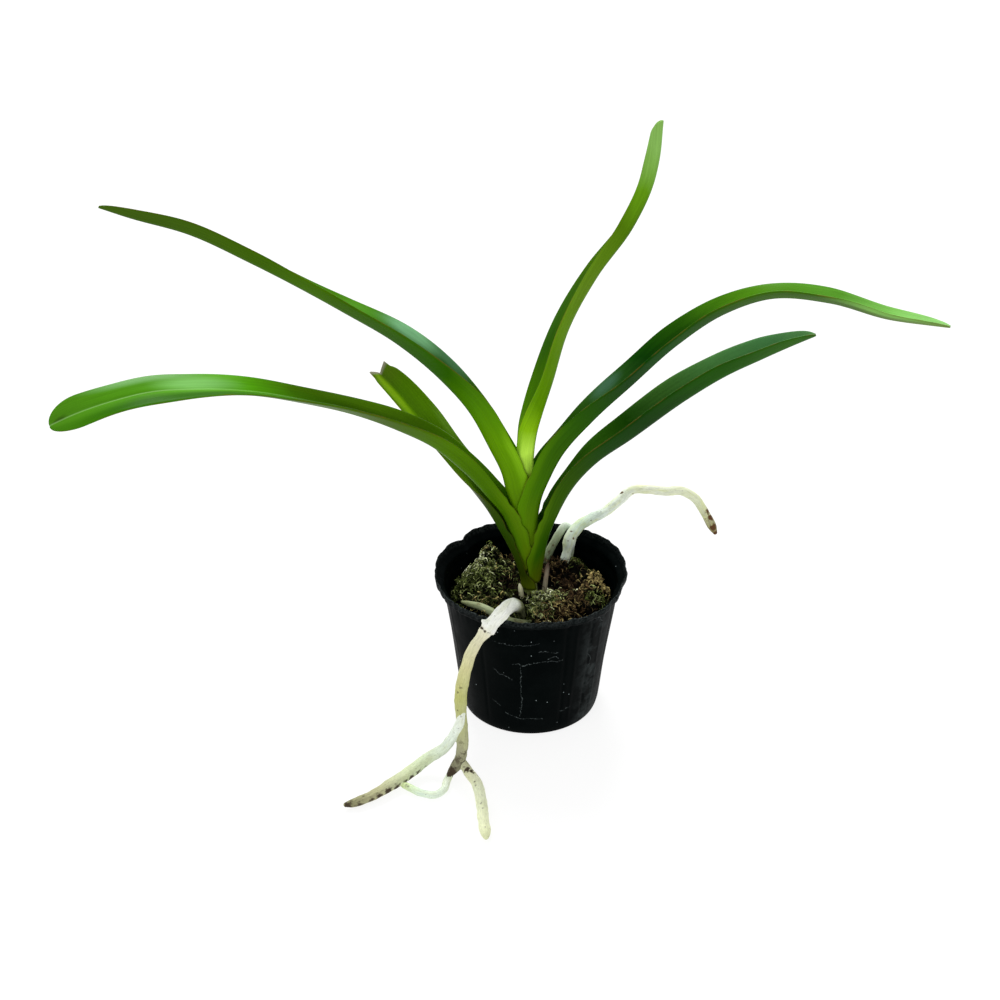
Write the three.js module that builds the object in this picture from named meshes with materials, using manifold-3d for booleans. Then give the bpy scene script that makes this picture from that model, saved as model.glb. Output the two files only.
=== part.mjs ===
// A young Aerides jarckiana orchid in a soft plastic nursery pot.
// Millimetres, +Z up. The origin is the middle of the underside of the pot, and the leaf fan
// spreads along X, seen from the -Y side.
import * as THREE from "three";
import Module from "manifold-3d";

const wasm = await Module();
wasm.setup();

// Pot
const POT_HEIGHT = 74;
const BASE_RADIUS = 33.8;
const RIM_RADIUS = 46.3;
const BODY_TOP_RADIUS = 42.6;
const LIP_HEIGHT = 5.5;
const WALL = 0.8;
const FLOOR = 1.2;
const POT_SIDES = 48;
const DRAIN_COUNT = 6;
const DRAIN_RADIUS = 3.5;
const DRAIN_CIRCLE = 24;
const LIP_WAVE = 0.35;
const LIP_BEND_FROM = 0.75; // share of the height above which the lip bends

// Moss
const MOSS_CLEARANCE = 0.4;
const MOSS_LEVEL = 62.5;
const MOSS_BOTTOM = FLOOR + 0.3;
const MOSS_RINGS = 9;
const HOLE_CLEARANCE = 0.3;
const ROOT_CLEARANCE = 0.42; // more than the stem's, because a root has few flat sides
const POCKET_RADIUS = 6; // pocket round the foot of the leaf fan
const POCKET_HEIGHT = 16;
const FAN_FOOT = 65; // height of the lowest leaf's foot

// Leaves
const ARC_STEPS = 3; // strips across the bend of each half at the keel
const HALF_STEPS = 4; // strips across each half of a blade
const MARGIN_THINNING = 0.5; // share of the thickness lost at the margin
const THIN_BLADE = 0.7; // a blade this thin keeps its thickness to the margin
const THICK_BLADE = 1.3; // a blade this thick loses the whole share
const KEEL_SHARE = 0.62; // most of a half-width that the strips at the keel take up
const LEAST_TIP = 0.16; // share of the half-width left at the very tip, unless a leaf has its own
const BLUNT_TIP = 10; // a tip shorter than this is blunt
const RING_STEP = 9; // longest step along a blade

// Roots and stem
const ROOT_SIDES = 8;
const ROOT_STEP = 4.5;
const STEM_SIDES = 16;

// Lumps of moss: x, y, radius, height
const MOSS_LUMPS = [
  [-20, 7, 13, 7],
  [-21, 24, 6, 8],
  [-6, 14, 9, 3],
  [14, 14, 8, 5],
  [26, 15, 7, 4],
  [31, 2, 7, 4.5],
  [5, -17, 12, 3.5],
  [22, -16, 10, 3],
  [-18, -14, 8, 2.5],
];

// Helpers

const mix = (a, b, t) => a + (b - a) * t;
const smooth = (t) => {
  const c = Math.min(1, Math.max(0, t));
  return c * c * (3 - 2 * c);
};

// A smooth track through stations, each a list of numbers that starts with x, y, z.
// The parameter is the distance along the straight lines between the stations.
function track(stations) {
  const knots = [0];
  for (let i = 1; i < stations.length; i++) {
    const [a, b] = [stations[i - 1], stations[i]];
    knots.push(knots[i - 1] + Math.hypot(b[0] - a[0], b[1] - a[1], b[2] - a[2]));
  }
  const slope = (i, k) => {
    const before = Math.max(i - 1, 0);
    const after = Math.min(i + 1, stations.length - 1);
    const left = i > 0 ? (stations[i][k] - stations[before][k]) / (knots[i] - knots[before]) : 0;
    const right = after > i ? (stations[after][k] - stations[i][k]) / (knots[after] - knots[i]) : 0;
    if (i === 0) return right;
    if (i === stations.length - 1) return left;
    const [h0, h1] = [knots[i] - knots[before], knots[after] - knots[i]];
    return (left * h1 + right * h0) / (h0 + h1);
  };
  const at = (s) => {
    let i = 0;
    while (i < stations.length - 2 && s > knots[i + 1]) i++;
    const h = knots[i + 1] - knots[i];
    const t = Math.min(1, Math.max(0, (s - knots[i]) / h));
    const [t2, t3] = [t * t, t * t * t];
    return stations[i].map(
      (v, k) =>
        v * (2 * t3 - 3 * t2 + 1) +
        slope(i, k) * h * (t3 - 2 * t2 + t) +
        stations[i + 1][k] * (3 * t2 - 2 * t3) +
        slope(i + 1, k) * h * (t3 - t2),
    );
  };
  const point = (s) => new THREE.Vector3(...at(s).slice(0, 3));
  const total = knots[knots.length - 1];
  const tangent = (s) => {
    const step = 0.2;
    return point(Math.min(total, s + step)).sub(point(Math.max(0, s - step))).normalize();
  };
  return { at, point, tangent, total };
}

// An indexed mesh, with its faces turned outwards whichever way they were listed.
function solid(points, faces) {
  const flat = new Float32Array(points.flatMap((p) => [p.x, p.y, p.z]));
  let volume = 0;
  for (const [a, b, c] of faces) {
    volume += points[a].clone().cross(points[b]).dot(points[c]);
  }
  const turned = volume < 0 ? faces.map(([a, b, c]) => [a, c, b]) : faces;
  const geometry = new THREE.BufferGeometry();
  geometry.setAttribute("position", new THREE.BufferAttribute(flat, 3));
  geometry.setIndex(turned.flat());
  return geometry;
}

// Rings of points, all of one count, joined by quads split alike, with both ends closed.
function loft(rings, closeEnd) {
  const n = rings[0].length;
  const faces = [];
  for (let i = 0; i + 1 < rings.length; i++) {
    for (let j = 0; j < n; j++) {
      const k = (j + 1) % n;
      const [a, b, c, d] = [i * n + j, i * n + k, (i + 1) * n + k, (i + 1) * n + j];
      faces.push([a, b, c], [a, c, d]);
    }
  }
  faces.push(...closeEnd(0, true), ...closeEnd((rings.length - 1) * n, false));
  return solid(rings.flat(), faces);
}

// A fan of triangles over a round ring that starts at point `first`.
const roundEnd = (n) => (first, turn) => {
  const fan = [];
  for (let j = 1; j + 1 < n; j++) {
    fan.push(turn ? [first, first + j + 1, first + j] : [first, first + j, first + j + 1]);
  }
  return fan;
};

const toManifold = (geometry) =>
  new wasm.Manifold(
    new wasm.Mesh({
      numProp: 3,
      vertProperties: geometry.attributes.position.array,
      triVerts: new Uint32Array(geometry.index.array),
    }),
  );

function fromManifold(body) {
  const mesh = body.getMesh();
  const geometry = new THREE.BufferGeometry();
  geometry.setAttribute("position", new THREE.BufferAttribute(mesh.vertProperties, 3));
  geometry.setIndex([...mesh.triVerts]);
  return geometry;
}

// The same stations with both ends pushed outwards.
function lengthened(stations, by) {
  const pushed = (end, next) => {
    const away = [0, 1, 2].map((k) => end[k] - next[k]);
    const length = Math.hypot(...away);
    return end.map((v, k) => (k < 3 ? v + (by * away[k]) / length : v));
  };
  const last = stations.length - 1;
  return [
    pushed(stations[0], stations[1]),
    ...stations.slice(1, last),
    pushed(stations[last], stations[last - 1]),
  ];
}

// A tube along stations of x, y, z, radius.
function tube(stations, { grow = 0, sides = ROOT_SIDES, step = ROOT_STEP } = {}) {
  const path = track(grow > 0 ? lengthened(stations, grow) : stations);
  const count = Math.max(2, Math.round(path.total / step));
  const rings = [];
  let side = new THREE.Vector3(0, 0, 1).cross(path.tangent(0));
  if (side.length() < 0.3) side = new THREE.Vector3(1, 0, 0);
  for (let i = 0; i <= count; i++) {
    const s = (path.total * i) / count;
    const along = path.tangent(s);
    side.addScaledVector(along, -side.dot(along)).normalize();
    const up = along.clone().cross(side);
    const radius = path.at(s)[3] + grow;
    const ring = [];
    for (let j = 0; j < sides; j++) {
      const a = (2 * Math.PI * j) / sides;
      ring.push(
        path
          .point(s)
          .addScaledVector(side, radius * Math.cos(a))
          .addScaledVector(up, radius * Math.sin(a)),
      );
    }
    rings.push(ring);
  }
  return loft(rings, roundEnd(sides));
}

// Pot: one thin wall with a flared lip that is dented on the left, at the back and on the right

// How far the lip moves outwards and upwards at an angle round the pot.
function lipBend(angle) {
  const dent = (at, width, depth) => {
    const away = Math.atan2(Math.sin(angle - at), Math.cos(angle - at));
    return depth * Math.exp(-((away / width) ** 2));
  };
  const dented = dent(2.5, 0.16, -0.9) + dent(-0.25, 0.16, -0.8) + dent(-1.55, 0.5, -1.0);
  const pulled = dent(2.95, 0.3, 0.9) + dent(0.5, 0.45, 0.9);
  const lowered = dent(-0.75, 0.25, -0.8);
  const raised = dent(-1.9, 0.3, 0.5) + dent(0.6, 0.5, 0.8) + dent(2.1, 0.25, 0.8);
  return { out: dented + pulled, up: lowered + raised + LIP_WAVE * Math.sin(3 * angle + 1) };
}

// Radius of the inside of the wall at a height, before the lip bends.
const innerRadius = (z) => mix(BASE_RADIUS, BODY_TOP_RADIUS, z / (POT_HEIGHT - LIP_HEIGHT)) - WALL;

function potPoint(radius, z, angle) {
  const share = smooth((z / POT_HEIGHT - LIP_BEND_FROM) / (1 - LIP_BEND_FROM));
  const bend = lipBend(angle);
  const r = radius + bend.out * share;
  return new THREE.Vector3(r * Math.cos(angle), r * Math.sin(angle), z + bend.up * share);
}

function makePot() {
  const lipFoot = POT_HEIGHT - LIP_HEIGHT;
  const outline = [
    [BASE_RADIUS - 2, 0],
    [BASE_RADIUS - 0.6, 0.6],
    [BASE_RADIUS, 2],
    [mix(BASE_RADIUS, BODY_TOP_RADIUS, 0.5), 0.5 * lipFoot],
    [mix(BASE_RADIUS, BODY_TOP_RADIUS, 0.8), 0.8 * lipFoot],
    [BODY_TOP_RADIUS, lipFoot],
    [RIM_RADIUS - 0.8, lipFoot + 1.2],
    [RIM_RADIUS - 0.2, lipFoot + 3],
    [RIM_RADIUS, POT_HEIGHT - 0.4],
    [RIM_RADIUS - 0.4, POT_HEIGHT],
    [RIM_RADIUS - WALL, POT_HEIGHT - 0.3],
    [RIM_RADIUS - 0.3 - WALL, lipFoot + 3.2],
    [RIM_RADIUS - 1.2 - WALL, lipFoot + 1.9],
    [innerRadius(lipFoot), lipFoot + 0.5],
    [innerRadius(0.8 * lipFoot), 0.8 * lipFoot],
    [innerRadius(0.5 * lipFoot), 0.5 * lipFoot],
    [innerRadius(2.5), 2.5],
    [innerRadius(2.5) - 1.5, FLOOR],
  ];
  const rings = outline.map(([radius, z]) => {
    const ring = [];
    for (let j = 0; j < POT_SIDES; j++) {
      ring.push(potPoint(radius, z, (2 * Math.PI * j) / POT_SIDES));
    }
    return ring;
  });
  let body = toManifold(loft(rings, roundEnd(POT_SIDES)));
  for (let i = 0; i < DRAIN_COUNT; i++) {
    const drain = new THREE.CylinderGeometry(DRAIN_RADIUS, DRAIN_RADIUS, 3 * FLOOR, 12);
    drain.rotateX(Math.PI / 2);
    const angle = (2 * Math.PI * (i + 0.5)) / DRAIN_COUNT;
    drain.translate(DRAIN_CIRCLE * Math.cos(angle), DRAIN_CIRCLE * Math.sin(angle), 0);
    body = body.subtract(toManifold(closed(drain)));
  }
  return fromManifold(body);
}

// Merges the shared vertices of one of the library's closed shapes.
function closed(geometry) {
  const position = geometry.attributes.position;
  const index = geometry.index;
  const seen = new Map();
  const points = [];
  const where = [];
  for (let i = 0; i < position.count; i++) {
    const p = new THREE.Vector3().fromBufferAttribute(position, i);
    const key = [p.x, p.y, p.z].map((v) => Math.round(v * 1e4)).join();
    if (!seen.has(key)) {
      seen.set(key, points.length);
      points.push(p);
    }
    where.push(seen.get(key));
  }
  const faces = [];
  for (let i = 0; i < index.count; i += 3) {
    const face = [0, 1, 2].map((k) => where[index.getX(i + k)]);
    if (new Set(face).size === 3) faces.push(face);
  }
  return solid(points, faces);
}

// Leaves

// Stations along the keel of each leaf, from its foot in the fan to its tip:
// x, y, z, half-width, fold, roll, turn, thickness. Fold is the angle of each half from the
// middle plane of the leaf, 0 where the leaf is clasped shut and 90 where it is flat. Roll turns
// the blade about the keel, towards -Y where positive. Turn is the radius of the bend at the keel.
const LEAVES = {
  leaf_left_old: {
    side: -1,
    color: 0x6f9c1e,
    notch: 3,
    tip: 5,
    end: 0.85,
    stations: [
      [-4.2, 0, 65.5, 9.4, 0, 0, 5.1, 0.7],
      [-5.0, 0, 70.5, 8.9, 0, 0, 5.5, 0.7],
      [-6.5, 0, 77, 6.8, 0, 0, 5.5, 0.7],
      [-8.5, 0.2, 83, 7.0, 0, 0, 5.5, 0.7],
      [-11.8, 1, 90.5, 7.6, 0, 0, 5.6, 0.8],
      [-15.8, 2, 98.8, 8.0, 8, 6, 5.0, 1.0],
      [-21.2, 4, 109, 8.4, 25, 20, 4.0, 1.3],
      [-27.8, 8, 117.5, 8.8, 42, 30, 3.4, 1.6],
      [-39, 15, 129.0, 9.3, 55, 26, 3.0, 1.7],
      [-53.6, 24, 145.6, 9.8, 59, 31, 3.0, 1.8],
      [-67.4, 33, 158.8, 8.3, 62, 32, 3.0, 1.8],
      [-72.4, 36, 162.8, 6.8, 62, 32, 3.0, 1.8],
    ],
  },
  leaf_right_low: {
    side: 1,
    color: 0x2f6b12,
    notch: 0,
    tip: 26,
    stations: [
      [4.3, 0, 69, 7.3, 0, 0, 3.7, 0.7],
      [5.0, 0, 75, 9.0, 0, 0, 3.85, 0.7],
      [6.1, 0, 82, 10.3, 0, 0, 4.35, 0.7],
      [7.5, 0, 91, 10.2, 0, 0, 4.65, 0.7],
      [9.3, 0, 98, 9.8, 0, 0, 4.8, 0.8],
      [12, 0, 106, 9.6, 4, 0, 4.6, 1.0],
      [20.6, 2, 122.4, 10.0, 34, -12, 4.0, 1.5],
      [29, 3, 132.4, 11.2, 40, -9, 3.5, 1.7],
      [46.5, 7, 144.4, 12.6, 37, -4, 3.2, 1.8],
      [72.7, 15, 161.4, 12.8, 35, -3, 3.0, 1.8],
      [90, 21, 169.9, 11.6, 34, -5, 3.0, 1.8],
      [108, 27, 176.1, 10.1, 37, -4, 2.8, 1.7],
      [124, 32, 181.2, 8.1, 39, -4, 2.4, 1.5],
      [133.6, 34.7, 184.1, 7.4, 40, 0, 2.0, 1.3],
    ],
  },
  leaf_left_low: {
    side: -1,
    color: 0x4d8a18,
    notch: 1.2,
    tip: 14,
    stations: [
      [-4.4, 0, 75.5, 7.0, 0, 0, 2.9, 0.7],
      [-6.3, 0, 82.5, 9.9, 0, 0, 3.35, 0.7],
      [-8.8, 0, 91, 10.6, 0, 0, 3.65, 0.7],
      [-10.9, 0, 99, 10, 0, 0, 3.85, 0.7],
      [-14.4, 0, 107.5, 9.8, 0, 0, 4.05, 0.8],
      [-20.8, -1, 117.2, 9.8, 6, -2, 4.0, 1.1],
      [-32.8, -3, 133, 10, 20, -13, 3.6, 1.5],
      [-45, -5, 145.8, 10.2, 36, -13, 3.2, 1.7],
      [-61.3, -10, 158.1, 9.7, 45, -9, 3.0, 1.8],
      [-80, -14, 168.2, 9, 57, -9, 3.0, 1.7],
      [-104, -22, 179, 8.7, 64, -6, 3.0, 1.7],
      [-125, -29, 186.7, 9.3, 68, -3, 3.0, 1.7],
      [-150, -38, 192.4, 10, 75, 4, 3.0, 1.8],
      [-166, -43, 193.8, 9.8, 80, 14, 3.0, 1.8],
      [-182, -48, 192, 9.4, 78, 20, 3.0, 1.7],
      [-199, -52, 187.5, 8.9, 75, 33, 2.8, 1.5],
      [-208, -54, 184, 9, 73, 33, 2.6, 1.2],
    ],
  },
  leaf_right_high: {
    side: 1,
    color: 0x2f6f14,
    notch: 0,
    tip: 40,
    stations: [
      [2.6, 0, 82.5, 6.7, 0, 0, 2.3, 0.7],
      [2.8, 0, 91, 9.4, 0, 0, 2.65, 0.7],
      [2.8, 0, 99, 10.6, 0, 0, 2.85, 0.7],
      [3.1, 0, 107, 11.3, 0, 0, 3.05, 0.7],
      [4.3, 0, 115, 11.8, 0, 0, 3.2, 0.9],
      [8.3, 0, 127, 11.6, 8, 0, 3.2, 1.2],
      [13.3, -1, 138.8, 11.4, 28, -16, 3.2, 1.5],
      [27.8, -3, 159.6, 10.7, 30, -9, 3.0, 1.7],
      [43.9, -5, 178.4, 9.7, 34, 6, 3.0, 1.8],
      [64.6, -7, 200.9, 9.2, 39, 5, 3.0, 1.8],
      [84, -9, 216.4, 8.7, 47, -3, 3.0, 1.8],
      [103.6, -11, 224.6, 8.1, 53, -10, 3.0, 1.7],
      [129.5, -13, 223.5, 8.1, 56, -6, 2.8, 1.7],
      [156, -15, 216.4, 6.9, 56, -6, 2.4, 1.5],
      [175, -17, 214.3, 6.2, 52, -5, 2.2, 1.3],
      [182.7, -18, 213.7, 5.6, 50, -5, 2.0, 1.2],
    ],
  },
  leaf_left_high: {
    side: -1,
    color: 0x4f9118,
    notch: 0,
    tip: 40,
    stations: [
      [-3.0, 0, 89.5, 3.9, 0, 0, 1.6, 0.7],
      [-5.0, 0, 97, 6.9, 0, 0, 1.75, 0.7],
      [-7.2, 0, 104.5, 9.2, 0, 0, 1.85, 0.7],
      [-9.6, 0, 112, 11, 0, 0, 2.0, 0.8],
      [-11.6, 0, 119, 11.8, 0, 0, 2.1, 1.0],
      [-13.8, 0, 129, 12.2, 4, -4, 2.5, 1.2],
      [-19.4, 0.8, 142, 12.3, 16, -10, 3.1, 1.5],
      [-29.2, 3, 161, 12.4, 34, -16, 3.0, 1.7],
      [-42, 5, 176.4, 12.0, 40, -9, 3.0, 1.8],
      [-60.6, 8, 192.4, 10.5, 41, -4, 3.0, 1.8],
      [-86, 12, 207.2, 8.9, 51, -15, 3.0, 1.7],
      [-127.5, 18, 228.8, 7.8, 50, -27, 2.8, 1.6],
      [-154, 21, 241, 8, 51, -27, 2.6, 1.5],
      [-182, 24, 248.2, 7.7, 50, -28, 2.4, 1.3],
      [-194.7, 25, 252.3, 6.6, 50, -28, 2.2, 1.2],
    ],
  },
  leaf_centre: {
    side: 1,
    color: 0x7fb51f,
    notch: 0.8,
    tip: 5,
    stations: [
      [1.2, 0, 95, 3.6, 0, 0, 0.7, 0.7],
      [1.7, 0, 104, 6.4, 0, 0, 0.8, 0.7],
      [2.0, 0, 114, 8.6, 0, 0, 0.95, 0.7],
      [1.4, 0, 125, 9.2, 0, 0, 1.0, 0.7],
      [0.5, 0, 134.5, 8.9, 0, 0, 1.0, 0.8],
      [1.0, 0, 144.5, 8.8, 0, 0, 1.2, 0.9],
      [2.0, 0.8, 151.5, 9.7, 12, 1, 1.9, 1.2],
      [3.9, 2, 159, 10.4, 24, 3, 2.4, 1.4],
      [8.3, 4.5, 174, 10.4, 34, 11, 2.6, 1.5],
      [15.8, 9, 200, 9.2, 44, 4, 2.6, 1.5],
      [28.3, 13, 224, 7.9, 40, -6, 2.4, 1.5],
      [43.8, 17, 246, 7.6, 30, -17, 2.4, 1.4],
      [52.3, 20, 265.4, 7.3, 28, -14, 2.4, 1.3],
      [54.4, 21, 276, 7.1, 28, -13, 2.2, 1.3],
      [55.6, 23, 292.4, 5.2, 28, -12, 2.0, 1.2],
    ],
  },
};

// One cross-section of a leaf at a distance along its keel: its outer face, then its inner face
// back again.
function leafRing(leaf, path, s) {
  const [x, y, z, half, fold, roll, turn, thick] = path.at(s);
  const along = path.tangent(s);
  const across = new THREE.Vector3(0, 1, 0).addScaledVector(along, -along.y).normalize();
  const inward = leaf.side < 0 ? across.clone().cross(along) : along.clone().cross(across);
  const rolled = THREE.MathUtils.degToRad(roll);
  const open = inward
    .clone()
    .multiplyScalar(Math.cos(rolled))
    .addScaledVector(across, -Math.sin(rolled));
  const flank = across
    .clone()
    .multiplyScalar(Math.cos(rolled))
    .addScaledVector(inward, Math.sin(rolled));
  const left = Math.max(0, path.total - s);
  const round = left < leaf.tip ? Math.sqrt(1 - (1 - left / leaf.tip) ** 2) : 1;
  const width = half * Math.max(round, leaf.end ?? LEAST_TIP);
  const bend = Math.PI / 2 - THREE.MathUtils.degToRad(fold);
  const thinning = smooth((thick - THIN_BLADE) / (THICK_BLADE - THIN_BLADE));
  const arc = Math.min(turn * bend, KEEL_SHARE * width);
  const outer = [];
  const inner = [];
  for (let j = -HALF_STEPS; j <= HALF_STEPS; j++) {
    const k = Math.abs(j);
    const beyond = (k - ARC_STEPS) / (HALF_STEPS - ARC_STEPS);
    const u = beyond > 0 ? mix(arc, width, beyond) : (arc * k) / ARC_STEPS;
    const limit = Math.min(u / turn, bend);
    const rest = u - limit * turn;
    const sideways = Math.sign(j) * (turn * Math.sin(limit) + rest * Math.cos(limit));
    const inwards = turn * (1 - Math.cos(limit)) + rest * Math.sin(limit);
    const normal = flank
      .clone()
      .multiplyScalar(Math.sign(j) * Math.sin(limit))
      .addScaledVector(open, -Math.cos(limit));
    const middle = new THREE.Vector3(x, y, z)
      .addScaledVector(flank, sideways)
      .addScaledVector(open, inwards);
    if (leaf.notch > 0 && left < leaf.tip) {
      middle.addScaledVector(along, leaf.notch * (1 - left / leaf.tip) * (u / width));
    }
    const lost = MARGIN_THINNING * (u / width) ** 3 * thinning;
    const thinned = thick * (1 - lost);
    outer.push(middle.clone().addScaledVector(normal, thinned / 2));
    inner.push(middle.clone().addScaledVector(normal, -thinned / 2));
  }
  return [...outer, ...inner.reverse()];
}

// A closed leaf. Outer and inner faces are split along the same diagonals.
function makeLeaf(leaf) {
  const path = track(leaf.stations);
  const stops = [];
  const count = Math.ceil(path.total / RING_STEP);
  for (let i = 0; i < count; i++) stops.push((path.total * i) / count);
  const ends = leaf.tip < BLUNT_TIP ? [0.5, 0.25, 0.08, 0] : [0.3, 0.12, 0.04, 0];
  const clear = stops.filter((s) => s < path.total - leaf.tip * ends[0] - 1);
  clear.push(...ends.map((share) => path.total - leaf.tip * share));
  const rings = clear.map((s) => leafRing(leaf, path, s));
  const wide = 2 * HALF_STEPS + 1;
  const n = 2 * wide;
  const faces = [];
  for (let i = 0; i + 1 < rings.length; i++) {
    const [a, b] = [i * n, (i + 1) * n];
    for (let j = 0; j + 1 < wide; j++) {
      const [oj, ok, ij, ik] = [j, j + 1, n - 1 - j, n - 2 - j];
      faces.push([a + oj, a + ok, b + ok], [a + oj, b + ok, b + oj]);
      faces.push([a + ij, b + ik, a + ik], [a + ij, b + ij, b + ik]);
    }
    faces.push([a + wide - 1, a + wide, b + wide], [a + wide - 1, b + wide, b + wide - 1]);
    faces.push([a + n - 1, a, b], [a + n - 1, b, b + n - 1]);
  }
  for (const [first, turned] of [
    [0, true],
    [(rings.length - 1) * n, false],
  ]) {
    for (let j = 0; j + 1 < wide; j++) {
      const quad = [first + j, first + j + 1, first + n - 2 - j, first + n - 1 - j];
      const [p, q, r, t] = turned ? quad : [quad[0], quad[3], quad[2], quad[1]];
      faces.push([p, r, q], [p, t, r]);
    }
  }
  return solid(rings.flat(), faces);
}

// Stem and roots: stations of x, y, z, radius

const STEM = [
  [0, 0, 40, 3.0],
  [0, 0, 60, 3.4],
  [0, 0, 66, 3.0],
  [0, 0, 75, 2.2],
  [0, 0, 82, 1.65],
  [0, 0, 89, 1.0],
  [0, 0, 93, 0.6],
];

const ROOT_FRONT = {
  main: [
    [-0.7, -6.5, 50, 2.6],
    [-2, -14, 53, 2.8],
    [-4.2, -22.5, 62, 3.2],
    [-6, -27.5, 71.5, 3.4],
    [-10, -34.5, 77, 3.4],
    [-15, -45.2, 79, 3.4],
    [-20, -49.4, 75, 3.4],
    [-22.3, -50.6, 72.6, 3.3],
    [-23.2, -51.2, 71.6, 2.7],
    [-26.8, -54.5, 68, 2.6],
    [-30.7, -58, 58, 2.8],
    [-33.1, -61, 46, 3.0],
    [-33.2, -62, 34, 2.7],
    [-32.6, -63, 20, 2.7],
    [-34.2, -63.5, 8.5, 2.7],
    [-37.6, -66.5, 4.2, 2.2],
    [-39.2, -68.5, 3.2, 1.4],
  ],
  left: [
    [-32.6, -63, 36, 1.6],
    [-33.6, -64, 32, 2.1],
    [-36.6, -62.5, 23, 2.3],
    [-41.5, -61, 13.6, 2.5],
    [-48.8, -61, 7.8, 2.8],
    [-58, -68.5, 4.8, 3.0],
    [-65, -75, 4.0, 2.9],
    [-75.6, -84, 3.2, 2.4],
    [-84, -88, 2.5, 1.9],
    [-86.8, -89, 2.4, 1.1],
  ],
  right: [
    [-33.6, -62.8, 8.5, 1.8],
    [-31, -65.8, 5.2, 2.3],
    [-25.8, -75, 3.2, 2.6],
    [-23.8, -86, 2.9, 2.7],
    [-22.6, -100, 2.8, 2.6],
    [-21.6, -109, 2.6, 2.3],
    [-21.4, -111.5, 2.6, 1.4],
  ],
  loop: [
    [-38, -67, 4.0, 1.6],
    [-40, -71.5, 2.4, 1.8],
    [-41.4, -77.6, 2.1, 1.8],
    [-45.4, -81.4, 2.1, 1.8],
    [-51, -80.4, 2.1, 1.8],
    [-60, -75, 2.8, 1.7],
  ],
};

const ROOT_BACK = [
  [4.2, 5.4, 54, 2.2],
  [10, 13, 56, 2.4],
  [16, 20.5, 62.5, 2.4],
  [18.7, 24, 71.8, 2.5],
  [20.2, 26.5, 77, 3.0],
  [24, 31.5, 79.6, 2.9],
  [29.4, 38, 79.6, 2.7],
  [37.7, 42, 82.2, 2.7],
  [45.3, 46, 86.6, 2.6],
  [51, 48, 91, 2.4],
  [59, 48, 91.4, 2.3],
  [68, 48, 90.4, 2.3],
  [76.4, 48, 90.4, 2.3],
  [83.2, 48, 86, 2.3],
  [88.2, 47, 78.6, 2.2],
  [93, 46, 69.6, 1.9],
  [94.2, 45.6, 67.2, 1.1],
];

const ROOT_BACK_LOOP = [
  [-3.6, 5.8, 50, 1.8],
  [-1, 14, 52, 2.0],
  [5, 25, 59, 2.0],
  [9.5, 29.3, 66, 2.05],
  [12.4, 29.9, 72.2, 2.05],
  [15.2, 31.4, 77, 2.05],
  [17.4, 33.4, 78.8, 2.0],
  [19.6, 34.2, 77, 1.9],
  [20.8, 33.2, 71, 1.8],
  [20.2, 31, 64, 1.7],
  [19.5, 29.6, 60, 1.6],
];

const ROOT_SURFACE = [
  [-33.2, -15.4, 66.2, 0.7],
  [-29.6, -17.4, 66.4, 1.4],
  [-24, -19.8, 66.2, 1.8],
  [-17.6, -24, 65.4, 1.9],
  [-11.6, -28.2, 64.4, 1.9],
  [-4.4, -29.6, 63.6, 1.8],
  [0.6, -27.6, 62, 1.6],
];

const ROOT_NUB = [
  [-4.1, -4.6, 59, 1.2],
  [-4.7, -6.2, 65, 1.2],
  [-5.3, -6.9, 69, 1.0],
  [-5.6, -7.1, 71, 0.4],
];

const ROOT_OLD = [
  [6.0, -3.6, 58, 1.2],
  [6.7, -3.2, 66, 1.2],
  [7.4, -1.4, 72, 1.1],
  [8.0, 0.6, 76.4, 0.9],
  [8.2, 1.1, 77.4, 0.5],
];

function fuse(pieces, options) {
  return pieces.map((p) => toManifold(tube(p, options))).reduce((a, b) => a.add(b));
}

// Moss: a lumpy plug inside the wall, with plain holes for the stem and the roots

function mossHeight(x, y) {
  let z = MOSS_LEVEL;
  for (const [cx, cy, radius, height] of MOSS_LUMPS) {
    z += height * Math.exp(-((x - cx) ** 2 + (y - cy) ** 2) / radius ** 2);
  }
  z += 0.7 * Math.sin(0.55 * x + 1) * Math.sin(0.6 * y);
  const r = Math.hypot(x, y);
  return z - 7 * smooth((r - 31) / 9);
}

function makeMoss() {
  const rings = [];
  const ringAt = (radiusOf, heightOf) => {
    const ring = [];
    for (let j = 0; j < POT_SIDES; j++) {
      const angle = (2 * Math.PI * j) / POT_SIDES;
      const r = radiusOf(angle);
      const [x, y] = [r * Math.cos(angle), r * Math.sin(angle)];
      ring.push(new THREE.Vector3(x, y, heightOf(x, y)));
    }
    return ring;
  };
  const wallAt = (z) => (angle) => {
    const p = potPoint(innerRadius(z) - MOSS_CLEARANCE, z, angle);
    return Math.hypot(p.x, p.y);
  };
  rings.push(ringAt(() => innerRadius(2.5) - 2.2, () => MOSS_BOTTOM));
  rings.push(ringAt(wallAt(4), () => 4));
  rings.push(ringAt(wallAt(30), () => 30));
  rings.push(ringAt(wallAt(50), () => 50));
  for (let i = 0; i < MOSS_RINGS; i++) {
    const share = 1 - i / MOSS_RINGS;
    rings.push(ringAt((angle) => share * wallAt(55)(angle), mossHeight));
  }
  return toManifold(loft(rings, roundEnd(POT_SIDES)));
}

// Assembly

const group = new THREE.Group();
group.name = "potted_aerides_jarckiana";

function addMesh(name, geometry, color, roughness) {
  const material = new THREE.MeshStandardMaterial({ color, roughness, metalness: 0 });
  const mesh = new THREE.Mesh(geometry, material);
  mesh.name = name;
  group.add(mesh);
}

const ROOT_PARTS = {
  root_front: Object.values(ROOT_FRONT),
  root_back: [ROOT_BACK],
  root_back_loop: [ROOT_BACK_LOOP],
  root_surface: [ROOT_SURFACE],
  root_nub: [ROOT_NUB],
  root_old: [ROOT_OLD],
};

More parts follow.
